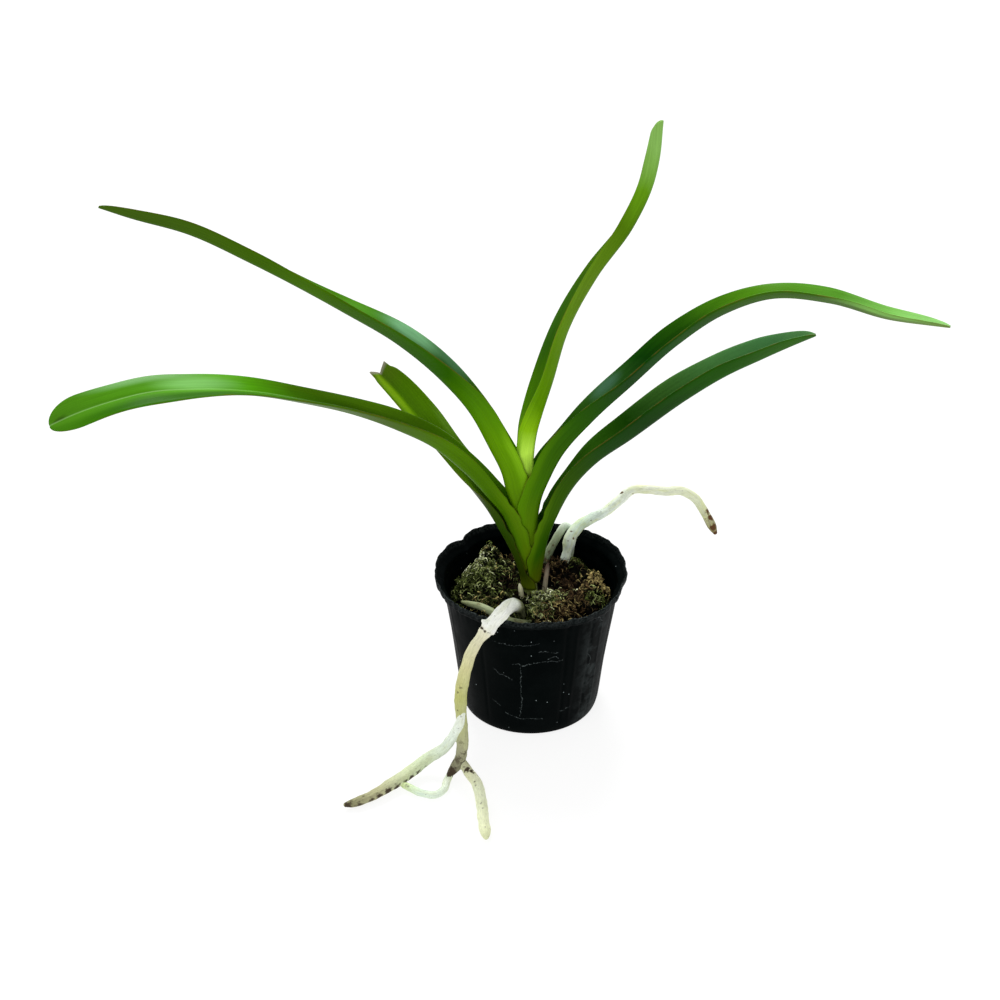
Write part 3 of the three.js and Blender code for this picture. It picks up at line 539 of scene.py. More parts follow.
def pot_outline():
    """Radius and height from the foot up the outside, over the lip and down the inside."""
    foot = POT_HEIGHT - LIP_HEIGHT
    heel = [(2.2, 0), (1.2, 0.1), (0.4, 0.7), (0, 1.8)]
    flare = [(1.3, 0.9), (0.6, 1.5), (0.3, 2.4), (0.15, 3.6)]
    edge = [(0, 0.6), (0.05, 0.2), (0.35, 0), (0.65, 0.15), (0.8, 0.6)]
    underside = [(1.0, 3.6), (1.2, 2.7), (1.7, 2.2), (2.6, 1.6)]
    # Two fine steps run round the inside just under the lip.
    steps = [(0, 0), (2.2, 0), (2.6, 0.25), (4.6, 0.25), (5.0, 0.0), (8, 0), (14, 0)]
    wall = np.linspace(0.06, 0.985, 30)
    return np.array([
        *((BASE_RADIUS - r, z) for r, z in heel),
        *((mix(BASE_RADIUS, BODY_TOP_RADIUS, t), t * foot) for t in wall),
        (BODY_TOP_RADIUS, foot - 0.2),
        (BODY_TOP_RADIUS + 0.6, foot + 0.35),
        *((RIM_RADIUS - r, foot + z) for r, z in flare),
        *((RIM_RADIUS - r, POT_HEIGHT - z) for r, z in edge),
        *((RIM_RADIUS - r, foot + z) for r, z in underside),
        (BODY_TOP_RADIUS - WALL + 0.2, foot + 0.7),
        *((inner_radius(foot - z) + step, foot - z) for z, step in steps),
        *((inner_radius(z), z) for z in (48, 40, 32, 24, 16, 10, 5, 2.8)),
        (inner_radius(2) - 0.5, 1.7),
        (inner_radius(2) - 1.4, FLOOR),
    ])


def make_pot(material):
    outline = pot_outline()
    height = outline[:, 1:]
    angle = np.linspace(0, 2 * np.pi, POT_COLUMNS, endpoint=False)
    rows = np.array([pot_place(r, z, angle) for r, z in outline])
    rows[..., 2] = np.where(height < 1, height, rows[..., 2])
    points = rows.reshape(-1, 3)
    made = shell("nursery_pot", points, outward(points, tube_faces(len(rows), POT_COLUMNS)))
    cutters = []
    for i in range(DRAIN_COUNT):
        a = 2 * math.pi * (i + 0.5) / DRAIN_COUNT
        place = (DRAIN_CIRCLE * math.cos(a) * MM, DRAIN_CIRCLE * math.sin(a) * MM, 0)
        bpy.ops.mesh.primitive_cylinder_add(
            vertices=40, radius=DRAIN_RADIUS * MM, depth=3 * FLOOR * MM, location=place
        )
        cutters.append(bpy.context.object)
        cut = made.modifiers.new("drain", "BOOLEAN")
        cut.operation = "DIFFERENCE"
        cut.solver = "EXACT"
        cut.object = cutters[-1]
    settled(made)
    for cutter in cutters:
        bpy.data.objects.remove(cutter)
    co = np.array([v.co for v in made.data.vertices]) / MM
    turn = np.arctan2(co[:, 1], co[:, 0])
    wall = np.stack([turn * ARC_RADIUS, co[:, 2], np.hypot(co[:, 0], co[:, 1])], -1)
    # A narrow pale line runs along the top of the lip, partly wear and partly painted highlight,
    # strongest at the front, with a faint painted sheen on the lip beside it.
    lip = search_tree(rows[list(outline[:, 1]).index(POT_HEIGHT)])
    away = np.array([lip.find(p)[2] for p in co])
    edge = np.clip(1 - away / 0.35, 0, 1) * (0.3 + 0.7 * np.clip(-np.sin(turn), 0, 1))
    edge = np.maximum(edge, 0.2 * smooth(1.6 - away / 2.4))
    dress(made, material, ["pot"], "pot_plastic", {"wall": wall, "edge": edge})
    made.data.set_sharp_from_angle(angle=math.radians(SHARP_EDGE))


def settled(made):
    """Applies the modifiers of an object to its mesh."""
    bpy.context.view_layer.update()
    depsgraph = bpy.context.evaluated_depsgraph_get()
    mesh = bpy.data.meshes.new_from_object(made.evaluated_get(depsgraph))
    old = made.data
    made.modifiers.clear()
    made.data = mesh
    mesh.name = made.name
    bpy.data.meshes.remove(old)


# Scratches on the outside of the wall: half-width, then arc and height in mm of each bend of
# the line. Arc is measured round the wall from +X, on ARC_RADIUS.
SCRATCHES = [
    (0.2, -82.4, 41, -79.3, 38.2, -76.1, 37.8, -72.6, 35.9),
    (0.2, -71.8, 45.8, -69.4, 46.8, -67.4, 45.1, -63.6, 47.2, -56.5, 48.1, -47.5, 47.5),
    (0.17, -67.9, 45.7, -68.2, 36.6, -67.6, 23.5, -68.8, 12.6),
    (0.18, -59.5, 54.2, -56.7, 55.2, -53.3, 53.4, -49.9, 53.3),
    (0.16, -55.1, 49.2, -51.7, 51.1, -49, 47.9),
    (0.2, -77.3, 13.7, -68.9, 10.6, -61.7, 11.6, -56.1, 10.5),
    (0.26, -33.7, 69.3, -29, 66.5, -25.1, 61.7),
    (0.1, -82.7, 58.6, -70.6, 58.1, -59.2, 59.8),
    (0.16, -32.6, 45.8, -29.5, 41, -31, 36),
    (0.16, -84.1, 19.5, -80, 17),
    (0.16, -46.4, 13.2, -40.3, 15),
    (0.18, 20, 50, 26, 44, 30, 45),
    (0.18, 60, 30, 66, 22),
    (0.18, 96, 52, 92, 44, 94, 36),
]


def pot_plastic():
    """Thin blown polypropylene: black with a dull satin skin, scratched and dusted from use, with a
    painted sheen on the right of the front and a painted highlight along the lip.
    """
    material, add = new_material("black_polypropylene")
    wall = add("Attribute", attribute_name="wall", out="Vector")
    place = add("TexCoord", out="Object")
    arc, _, _ = add("SeparateXYZ", wall, out=None)
    # The scratches wander by about 1 mm from their straight lines.
    wander = add("TexNoise", Vector=place, Scale=420.0, Detail=4.0, out=1)
    wander = add("VectorMath", wander, (3.0, 3.0, 0), (-1.5, -1.5, 0), operation="MULTIPLY_ADD")
    loose = add("VectorMath", wall, (1, 1, 0), wander, operation="MULTIPLY_ADD")
    marks = None
    for width, *line in SCRATCHES:
        bends = list(zip(line[::2], line[1::2]))
        for (ax, ay), (bx, by) in zip(bends, bends[1:]):
            span = Vector((bx - ax, by - ay, 0))
            start = add("VectorMath", loose, (ax, ay, 0), operation="SUBTRACT")
            aim = span / span.length_squared
            share = add("VectorMath", start, aim, operation="DOT_PRODUCT", out=1)
            share = add("Clamp", share)
            foot = add("VectorMath", span, Scale=share, operation="SCALE")
            away = add("VectorMath", start, foot, operation="DISTANCE", out=1)
            mark = add("MapRange", away, width, 0.3 * width)
            marks = mark if marks is None else add("Math", marks, mark, operation="MAXIMUM")
    wear_and_highlight_noise = add("TexNoise", Vector=place, Scale=1100.0, Detail=2.0)
    wear_and_highlight_noise = add("MapRange", wear_and_highlight_noise, 0.34, 0.66, 0, 0.34)
    marks = add("Math", marks, wear_and_highlight_noise, operation="MULTIPLY")
    # White specks of dust, about 0.3 mm wide, and the thin pale line along the top of the lip,
    # partly wear and partly painted highlight, with faint painted sheen beside it.
    specks = add("TexVoronoi", Vector=place, Scale=380.0, feature="F1", out=None)
    few = add("MapRange", specks["Distance"], 0.12, 0.05)
    pick = add("SeparateColor", specks["Color"])
    pick = add("Math", pick, 0.86, operation="GREATER_THAN")
    few = add("Math", few, pick, operation="MULTIPLY")
    edge = add("Attribute", attribute_name="edge", out="Fac")
    edge = add("Math", edge, wear_and_highlight_noise, operation="MULTIPLY")
    # A faint film of dust lies all round, and the stronger pale patch on the right of the front is
    # painted sheen.
    film = add("TexNoise", Vector=place, Scale=90.0, Detail=8.0, Roughness=0.75)
    dust_and_sheen_band = add("Math", arc, 26, operation="ADD")
    dust_and_sheen_band = add("Math", dust_and_sheen_band, operation="ABSOLUTE")
    dust_and_sheen_band = add("MapRange", dust_and_sheen_band, 14, 3, 0.004, 0.11)
    dust_and_sheen = add("MapRange", film, 0.46, 0.66)
    dust_and_sheen = add("Math", dust_and_sheen, dust_and_sheen_band, operation="MULTIPLY")
    pale = marks
    for layer in (few, edge, dust_and_sheen):
        pale = add("Math", pale, layer, operation="MAXIMUM")
    colour = add("Mix", pale, linear("#000303"), linear("#97a3a3"))
    rough = add("MapRange", film, 0.3, 0.7, 0.34, 0.6)
    grain = add("TexNoise", Vector=place, Scale=2200.0, Detail=2.0)
    bump = add("Bump", Height=grain, Strength=0.25, Distance=0.0001)
    skin = add("BsdfPrincipled", Base_Color=colour, Roughness=rough, Normal=bump, IOR=1.49,
               Specular_IOR_Level=0.014)
    add("OutputMaterial", skin, out=None)
    return material


# Moss

MOSS_CLEARANCE = 0.4
MOSS_LEVEL = 62.5
MOSS_REACH = 38.5
BED_COLUMNS = 240
BED_DEPTH = 1.6
STEM_ROOM = 5.5
SHOOTS_BELOW = 2.6
SHOOTS_ABOVE = 3.2
# Mounds: x, y, radius and height.
MOSS_LUMPS = [(-20, 7, 13, 7), (-21, 24, 6, 8), (-6, 14, 9, 3), (14, 14, 8, 5), (26, 15, 7, 4),
              (31, 2, 7, 4.5), (5, -17, 12, 3.5), (22, -16, 10, 3), (-18, -14, 8, 2.5)]

# Clumps of different moss: x, y, radius, lowest and highest tint. Tints up to 0.43 are brown
# to straw, and those above are dark green to pale grey-green.
MOSS_CLUMPS = [
    (-22, 6, 13, 0.5, 0.86), (-27, 17, 5.5, 0.78, 1.0), (-19, 30, 5, 0.26, 0.44),
    (-33, 2, 6, 0.52, 0.74), (-13, 10, 6, 0.44, 0.58), (-9, 1, 5, 0.0, 0.1),
    (10.7, 17, 6, 0.08, 0.32), (28, 23, 7, 0.5, 0.76), (31.4, 4, 5.5, 0.3, 0.43),
    (30.5, -7.3, 4, 0.6, 0.8), (10, -10, 6.5, 0.72, 1.0), (3, -20, 7, 0.5, 0.88),
    (8, -27, 5, 0.2, 0.4), (-2, -5, 4, 0.0, 0.12), (21, -3, 8, 0.06, 0.28),
    (15, -19, 7, 0.12, 0.4), (-20, -15, 7, 0.44, 0.6), (0, 20, 9, 0.04, 0.2),
]
MOSS_TINTS = ("0 #120e09, 14 #2e2114, 28 #5f5034, 43 #b0a268, "
              "47 #12160a, 64 #424c20, 82 #8c9460, 100 #e6e8cc")


def moss_height(x, y):
    z = MOSS_LEVEL + 0 * x
    for cx, cy, radius, height in MOSS_LUMPS:
        z = z + height * np.exp(-((x - cx) ** 2 + (y - cy) ** 2) / radius**2)
    z = z + 0.7 * np.sin(0.55 * x + 1) * np.sin(0.6 * y)
    return z - 7 * smooth((np.hypot(x, y) - 31) / 9)


def clod(x, y):
    """How far the clods of moss stand above or below its level."""
    spot = np.stack([x, y], -1)
    lump = 2.0 * ripple(spot, 12, 61) + 1.9 * ripple(spot, 6, 62) + 1.0 * ripple(spot, 3.4, 63)
    return lump * smooth((np.hypot(x, y) - 4) / 5)


def make_moss_bed(material):
    """The dense body of the moss, which the strands stand out of, near black with painted shade."""
    angle = np.linspace(0, 2 * np.pi, BED_COLUMNS, endpoint=False)
    rows = []
    for z in (1.8, 4, 20, 36, 48, 54):
        r = inner_radius(max(z, 2.5)) - MOSS_CLEARANCE - (2 if z < 2 else 0)
        rows.append(np.stack([r * np.cos(angle), r * np.sin(angle), z + 0 * angle], -1))
    rim = inner_radius(55) - MOSS_CLEARANCE
    for share in np.linspace(1, 0.012, 70):
        x, y = rim * share * np.cos(angle), rim * share * np.sin(angle)
        spot = np.stack([x, y], -1)
        fine = 0.6 * ripple(spot, 3.2, 21) + 0.4 * ripple(spot, 1.7, 22)
        z = moss_height(x, y) - BED_DEPTH + clod(x, y) + fine * smooth(share * 4)
        rows.append(np.stack([x, y, z], -1))
    points = np.array(rows).reshape(-1, 3)
    made = shell("moss_bed", points, outward(points, tube_faces(len(rows), BED_COLUMNS)))
    dress(made, material, ["potting_moss"], "potting_moss", {})


def strands(name, count, material, seed, radius, length, curl, steps=9, sides=4):
    """Many thin curled moss shoots. Each takes its tint from the clump that it grows in."""
    own = np.random.default_rng(seed)
    spots, tints = [], []
    while len(spots) < count:
        r, a = MOSS_REACH * math.sqrt(own.uniform()), own.uniform(0, 2 * np.pi)
        x, y = r * math.cos(a), r * math.sin(a)
        near = [math.exp(-((x - c[0]) ** 2 + (y - c[1]) ** 2) / c[2] ** 2) for c in MOSS_CLUMPS]
        lift = float(clod(np.array(x), np.array(y)))
        chance = (0.12 + max(near)) * (0.06 + 0.94 * smooth((lift + 1.3) / 2.2))
        if math.hypot(x - 0.3, y) < STEM_ROOM or own.uniform() > chance:
            continue
        clump = MOSS_CLUMPS[own.choice(len(near), p=np.array(near) / sum(near))]
        spots.append((x, y))
        tints.append(mix(*clump[3:], own.uniform() ** 1.6))
    x, y = np.array(spots).T
    heading = own.uniform(0, 2 * np.pi, count)
    lift = own.uniform(0.1, 1.0, count)
    level = np.cos(lift)
    way = np.stack([np.cos(heading) * level, np.sin(heading) * level, np.sin(lift)], -1)
    axis = unit(np.cross(way, own.normal(size=(count, 3))))
    long = own.uniform(*length, count)
    bend = own.choice([-1, 1], count) / own.uniform(*curl, count)
    twist = own.normal(0, 0.14, count)[:, None]
    thick = own.uniform(*radius, count)
    place = np.stack([x, y, moss_height(x, y) + clod(x, y) - BED_DEPTH], -1)
    rings, tips = [], []
    for i in range(steps + 1):
        t = i / steps
        up = np.cross(way, axis)
        # Shoots taper over their last part, and thick and thin rings take turns.
        grow = math.sin(math.pi * min(1, 0.25 + 0.75 * t)) ** 0.6 if t > 0.4 else 1
        r = (thick * (0.12 + 0.88 * grow) * (1 + 0.35 * (-1) ** i))[:, None]
        for k in range(sides):
            a = 2 * math.pi * k / sides + 0.6 * i
            rings.append(place + r * (math.cos(a) * axis + math.sin(a) * up))
            tips.append(np.full(count, t))
        turn = (bend * (0.5 + 1.2 * t) * long / steps)[:, None]
        way = unit(way * np.cos(turn) + np.cross(axis, way) * np.sin(turn))
        axis = unit(axis + way * twist)
        axis = unit(axis - way * (axis * way).sum(1, keepdims=True))
        place = place + way * (long / steps)[:, None]
    # Shoots stay inside the pot and close to the moss.
    x, y, z = np.moveaxis(np.stack(rings, 1), -1, 0)
    most = inner_radius(np.clip(z, 40, 68)) - 0.9
    inside = np.minimum(1, most / np.maximum(np.hypot(x, y), 1e-6))
    x, y = x * inside, y * inside
    ground = moss_height(x, y) + clod(x, y)
    z = np.clip(z, ground - SHOOTS_BELOW, ground + SHOOTS_ABOVE)
    points = np.stack([x, y, z], -1).reshape(-1, 3)
    per = (steps + 1) * sides
    one = tube_faces(steps + 1, sides)
    faces = [[v + i * per for v in f] for i in range(count) for f in one]
    end, depth = np.stack(tips, 1).ravel(), (z - ground).ravel()
    shoot = np.stack([np.repeat(tints, per), end, depth], -1)
    dress(shell(name, points, faces), material, [], "potting_moss", {"shoot": shoot}, False)


def moss_skin():
    """Dried sheet moss: matt curled shoots, pale at their ends, with painted shade where they lie
    deep and painted light where they stand high.
    """
    material, add = new_material("dried_sheet_moss")
    shoot = add("Attribute", attribute_name="shoot", out="Vector")
    tint, end, depth = add("SeparateXYZ", shoot, out=None)
    colour = add("ValToRGB", tint, stops=MOSS_TINTS)
    # Shoots are lighter towards their ends; painted shade darkens them where they lie deep in the
    # moss, and painted light brightens those that stand high.
    toward_tip = add("MapRange", end, 0.35, 1.0, 0.6, 2.1)
    deep = add("MapRange", depth, -1.0, 1.5, 0, 1.55)
    place = add("TexCoord", out="Object")
    fleck = add("TexNoise", Vector=place, Scale=1100.0, Detail=2.0)
    fleck = add("MapRange", fleck, 0.35, 0.65, 0.45, 1.45)
    shade = add("Math", toward_tip, deep, operation="MULTIPLY")
    shade = add("Math", shade, fleck, operation="MULTIPLY")
    colour = add("Mix", 1.0, colour, shade, blend_type="MULTIPLY")
    skin = add("BsdfPrincipled", Base_Color=colour, Roughness=0.85, Specular_IOR_Level=0.05)
    add("OutputMaterial", skin, out=None)
    return material


def moss_gap_shade():
    """The moss body between the shoots, near black: painted shade in the gaps among them."""
    material, add = new_material("moss_gap_painted_shade")
    place = add("TexCoord", out="Object")
    crumbs = add("TexNoise", Vector=place, Scale=500.0, Detail=5.0)
    colour = add("ValToRGB", crumbs, stops="35 #020201, 58 #090805, 78 #1b180e")
    bump = add("Bump", Height=crumbs, Strength=0.8, Distance=0.0008)
    skin = add("BsdfPrincipled", Base_Color=colour, Roughness=0.8, Specular_IOR_Level=0.03,
               Normal=bump)
    add("OutputMaterial", skin, out=None)
    return material


def make_moss():
    make_moss_bed(moss_gap_shade())
    skin = moss_skin()
    strands("moss_shoots", 2300, skin, 41, radius=(0.16, 0.32), length=(4, 9), curl=(0.9, 2.3))
    strands("moss_threads", 4200, skin, 42, (0.08, 0.17), (2.5, 7), (0.7, 1.9), steps=7, sides=3)
    strands("moss_tufts", 700, skin, 43, radius=(0.3, 0.5), length=(2, 4.5), curl=(0.8, 1.6))


# Stem and roots

FUSED_GRAIN = 0.34
TEAR = 62.5  # mm along the front root where its white sleeve ends in a torn edge

# Stations: x, y, z, radius.
STEM = [
    (0, 0, 40, 3.0), (0, 0, 60, 3.4), (0, 0, 66, 3.0), (0, 0, 75, 2.2), (0, 0, 82, 1.65),
    (0, 0, 89, 1.0), (0, 0, 93, 0.6),
]
# The main root, its left and right branches and the one that loops between them.
ROOT_FRONT = [
    [
        (-0.7, -6.5, 50, 2.6), (-2, -14, 53, 2.8), (-4.2, -22.5, 62, 3.2), (-6, -27.5, 71.5, 3.4),
        (-10, -34.5, 77, 3.4), (-15, -45.2, 79, 3.4), (-20, -49.4, 75, 3.4),
        (-22.3, -50.6, 72.6, 3.3), (-23.2, -51.2, 71.6, 2.7), (-26.8, -54.5, 68, 2.6),
        (-30.7, -58, 58, 2.8), (-33.1, -61, 46, 3.0), (-33.2, -62, 34, 2.7), (-32.6, -63, 20, 2.7),
        (-34.2, -63.5, 8.5, 2.7), (-37.6, -66.5, 4.2, 2.2), (-39.2, -68.5, 3.2, 1.4),
    ],
    [
        (-32.6, -63, 36, 1.6), (-33.6, -64, 32, 2.1), (-36.6, -62.5, 23, 2.3),
        (-41.5, -61, 13.6, 2.5), (-48.8, -61, 7.8, 2.8), (-58, -68.5, 4.8, 3.0),
        (-65, -75, 4.0, 2.9), (-75.6, -84, 3.2, 2.4), (-84, -88, 2.5, 1.9), (-86.8, -89, 2.4, 1.1),
    ],
    [
        (-33.6, -62.8, 8.5, 1.8), (-31, -65.8, 5.2, 2.3), (-25.8, -75, 3.2, 2.6),
        (-23.8, -86, 2.9, 2.7), (-22.6, -100, 2.8, 2.6), (-21.6, -109, 2.6, 2.3),
        (-21.4, -111.5, 2.6, 1.4),
    ],
    [
        (-38, -67, 4.0, 1.6), (-40, -71.5, 2.4, 1.8), (-41.4, -77.6, 2.1, 1.8),
        (-45.4, -81.4, 2.1, 1.8), (-51, -80.4, 2.1, 1.8), (-60, -75, 2.8, 1.7),
    ],
]
ROOT_BACK = [
    (4.2, 5.4, 54, 2.2), (10, 13, 56, 2.4), (16, 20.5, 62.5, 2.4), (18.7, 24, 71.8, 2.5),
    (20.2, 26.5, 77, 3.0), (24, 31.5, 79.6, 2.9), (29.4, 38, 79.6, 2.7), (37.7, 42, 82.2, 2.7),
    (45.3, 46, 86.6, 2.6), (51, 48, 91, 2.4), (59, 48, 91.4, 2.3), (68, 48, 90.4, 2.3),
    (76.4, 48, 90.4, 2.3), (83.2, 48, 86, 2.3), (88.2, 47, 78.6, 2.2), (93, 46, 69.6, 1.9),
    (94.2, 45.6, 67.2, 1.1),
]
ROOT_BACK_LOOP = [
    (-3.6, 5.8, 50, 1.8), (-1, 14, 52, 2.0), (5, 25, 59, 2.0), (9.5, 29.3, 66, 2.05),
    (12.4, 29.9, 72.2, 2.05), (15.2, 31.4, 77, 2.05), (17.4, 33.4, 78.8, 2.0),
    (19.6, 34.2, 77, 1.9), (20.8, 33.2, 71, 1.8), (20.2, 31, 64, 1.7), (19.5, 29.6, 60, 1.6),
]
ROOT_SURFACE = [
    (-33.2, -15.4, 66.2, 0.7), (-29.6, -17.4, 66.4, 1.4), (-24, -19.8, 66.2, 1.8),
    (-17.6, -24, 65.4, 1.9), (-11.6, -28.2, 64.4, 1.9), (-4.4, -29.6, 63.6, 1.8),
    (0.6, -27.6, 62, 1.6),
]
ROOT_NUB = [
    (-4.1, -4.6, 59, 1.2), (-4.7, -6.2, 65, 1.2), (-5.3, -6.9, 69, 1.0), (-5.6, -7.1, 71, 0.4),
]
ROOT_OLD = [
    (6.0, -3.6, 58, 1.2), (6.7, -3.2, 66, 1.2), (7.4, -1.4, 72, 1.1), (8.0, 0.6, 76.4, 0.9),
    (8.2, 1.1, 77.4, 0.5),
]


def frames(along):
    """Two directions across a path at each of its points, carried along without twist."""
    side = np.cross([0, 0, 1], along[0])
    if np.linalg.norm(side) < 0.3:
        side = np.array([1.0, 0, 0])
    sides = []
    for t in along:
        side = unit(side - t * np.dot(side, t))
        sides.append(side)
    return np.array(sides), np.cross(along, sides)


def tube_points(stations, seed, sides=40, step=0.6, lump=0.07, shape=None):
    """Rows of points round a root with rounded ends, and its path."""
    path = Track(stations)
    s = np.linspace(0, path.total, int(path.total / step) + 1)
    place, radius, along = path.at(s)[:, :3], path.at(s)[:, 3], path.tangent(s)
    # Rounded ends are extra rows past each end.
    cap = np.linspace(0, np.pi / 2, 7)[1:]
    first = place[:1] - along[:1] * (radius[0] * np.sin(cap[::-1]) * 0.8)[:, None]
    last = place[-1:] + along[-1:] * (radius[-1] * np.sin(cap) * 0.8)[:, None]
    ends = np.maximum(np.cos(cap), 0.02)
    place = np.concatenate([first, place, last])
    radius = np.concatenate([radius[0] * ends[::-1], radius, radius[-1] * ends])
    more = len(cap)
    along = np.pad(along, ((more, more), (0, 0)), "edge")
    s = np.pad(s, more, "edge")
    side, up = frames(along)
    s, a = np.broadcast_arrays(s[:, None], np.linspace(0, 2 * np.pi, sides, endpoint=False))
    c, d = np.cos(a), np.sin(a)
    round_way = side[:, None] * c[..., None] + up[:, None] * d[..., None]
    surface = place[:, None] + round_way * radius[:, None, None]
    change = lump * ripple(surface, 6, seed) + 0.4 * lump * ripple(surface, 2.2, seed + 1)
    # Flutes run along the skin, and faint wrinkles run round it.
    change = change + 0.02 * ripple(np.stack([0.12 * s, 2.7 * c, 2.7 * d], -1), 1.6, seed + 2)
    change = change + 0.012 * ripple(np.stack([s, 0.3 * c], -1), 1.7, seed + 3)
    if shape:
        change = change + shape(s, a)
    scaled = radius[:, None] * (1 + change)
    return place[:, None] + round_way * scaled[..., None], path


def owners(place, samples):
    """For each point, the sample of the branch whose skin is nearest. A sample ends with the
    radius of its branch."""
    trees = [search_tree(branch[:, :3]) for branch in samples]
    found = []
    for p in place:
        near = [tree.find(p) for tree in trees]
        skins = [hit[2] - branch[hit[1], -1] for hit, branch in zip(near, samples)]
        best = int(np.argmin(skins))
        found.append(samples[best][near[best][1]])
    return np.array(found)


def make_root(node, lines, material, slot="root_pale", seed=1, marks=(), shape=None, **more):
    """One root of one or more branches, fused into a single skin. Its points know how far
    along which branch they are, and how brown they are. Marks are listed for each branch: the
    place along it in mm, the turn from the viewer's side in degrees, size and strength."""
    points, faces, samples, spots = [], [], [], []
    eye = np.array(CAMERA_PLACE)
    for number, stations in enumerate(lines):
        own_shape = shape if number == 0 else None
        rows, path = tube_points(stations, seed + 10 * number, shape=own_shape, **more)
        faces += tube_faces(*rows.shape[:2], sum(len(p) for p in points))
        points.append(rows.reshape(-1, 3))
        s = np.linspace(0, path.total, max(8, int(path.total / 0.4)))
        at, along = path.at(s), path.tangent(s)
        # Place, share, branch, distance, two directions across, and radius.
        branch = np.full(len(s), number)
        sample = at[:, :3], s / path.total, branch, s, *frames(along), at[:, 3]
        samples.append(np.column_stack(sample))
        for place, turn, size, strength in marks[number] if marks else ():
            i = int(np.argmin(abs(s - place)))
            front = unit(eye - at[i, :3])
            front = unit(front - along[i] * np.dot(front, along[i]))
            flank = np.cross(along[i], front)
            t = math.radians(turn)
            way = front * math.cos(t) + flank * math.sin(t)
            spots.append((at[i, :3] + at[i, 3] * way, size, strength))
    made = shell(node + "_skin", np.concatenate(points), faces)
    if len(lines) > 1:
        fuse = made.modifiers.new("fuse", "REMESH")
        fuse.mode = "VOXEL"
        fuse.voxel_size = FUSED_GRAIN * MM
        soften = made.modifiers.new("soften", "SMOOTH")
        soften.factor = 0.5
        soften.iterations = 2
        settled(made)
    place = np.array([v.co for v in made.data.vertices]) / MM
    found = owners(place, samples)
    out = place - found[:, :3]
    skin = [found[:, 5] * 0.2, (out * found[:, 6:9]).sum(1), (out * found[:, 9:12]).sum(1)]
    mark = np.zeros(len(place))
    ragged = 1 + 0.45 * ripple(place, 1.5, seed + 7)
    for spot, size, strength in spots:
        away = np.linalg.norm(place - spot, axis=1) * ragged
        mark = np.maximum(mark, strength * np.exp(-((away / size) ** 2)))
    values = {"part": found[:, 3:6], "skin": np.stack(skin, -1), "mark": mark}
    dress(made, material, [node], slot, values)


def root_skin(name, *colours, spots="#5c3d20", speckle=0.5, tinge="#b9cf9a", tinge_share=0.3):
    """Velamen, the dry spongy skin of an orchid root: matt, pale, streaked and speckled.
    Colours go from the start of a branch to its end, with one list for each branch."""
    material, add = new_material(name)
    part = add("Attribute", attribute_name="part", out="Vector")
    share, branch, _ = add("SeparateXYZ", part, out=None)
    place = add("TexCoord", out="Object")
    skin = add("Attribute", attribute_name="skin", out="Vector")
    colour = add("ValToRGB", share, stops=colours[0])
    for number, stops in enumerate(colours[1:], 1):
        own = add("ValToRGB", share, stops=stops)
        here = add("MapRange", branch, number - 0.6, number - 0.4)
        colour = add("Mix", here, colour, own)
    wide = add("TexNoise", Vector=skin, Scale=0.5, Detail=4.0, Roughness=0.6)
    cast = add("MapRange", wide, 0.46, 0.66, 0, tinge_share)
    colour = add("Mix", cast, colour, linear(tinge))
    # Long streaks, lighter and darker, follow the root.
    streak = add("TexNoise", Vector=skin, Scale=1.7, Detail=4.0, Roughness=0.7)
    shade = add("MapRange", streak, 0.3, 0.7, 0.84, 1.16)
    colour = add("Mix", 1.0, colour, shade, blend_type="MULTIPLY")
    # Brown specks under 1 mm wide, many where the skin is stained.
    scar = add("TexNoise", Vector=place, Scale=700.0, Detail=5.0, Roughness=0.7)
    mark = add("Attribute", attribute_name="mark", out="Fac")
    stained = add("Math", mark, 0.36, scar, operation="MULTIPLY_ADD")
    stain = add("MapRange", stained, 0.66, 0.82, 0, 0.9)
    stain = add("Math", stain, mark, operation="MULTIPLY")
    ground = add("MapRange", scar, 0.6, 0.7, 0, speckle)
    stain = add("Math", stain, ground, operation="MAXIMUM")
    colour = add("Mix", stain, colour, linear(spots))
    fine = add("TexNoise", Vector=place, Scale=1600.0, Detail=3.0)
    bump = add("Bump", Height=fine, Strength=0.4, Distance=0.0002)
    bump = add("Bump", Height=streak, Strength=0.5, Distance=0.0006, Normal=bump)
    skin = add("BsdfPrincipled", Base_Color=colour, Roughness=0.78, Specular_IOR_Level=0.2,
               Normal=bump)
    add("OutputMaterial", skin, out=None)
    return material


def torn_sleeve(s, a):
    """The sleeve stands a little proud of the root, which is pinched just below the tear."""
    ragged = s - TEAR - 0.6 * np.sin(2 * a + 1) - 0.45 * np.sin(5 * a) - 0.3 * np.sin(11 * a + 2)
    sleeve = 0.14 * smooth((ragged + 4) / 3) * (ragged < 0)
    flap = 0.5 * np.exp(-(((ragged + 0.9) / 0.8) ** 2) - ((a - 2.05) / 0.35) ** 2)
    # Inside the moss the root is thinner.
    buried = 0.42 * (1 - smooth((s - 27) / 10))
    return sleeve + flap - buried - 0.24 * np.exp(-np.maximum(ragged, 0) / 1.1) * (ragged >= 0)


def knuckle(s, a):
    """A thick joint where the back root leaves the moss, with a step below it."""
    return 0.14 * np.exp(-(((s - 34.5) / 2.6) ** 2)) - 0.1 * np.exp(-(((s - 30) / 1.6) ** 2))


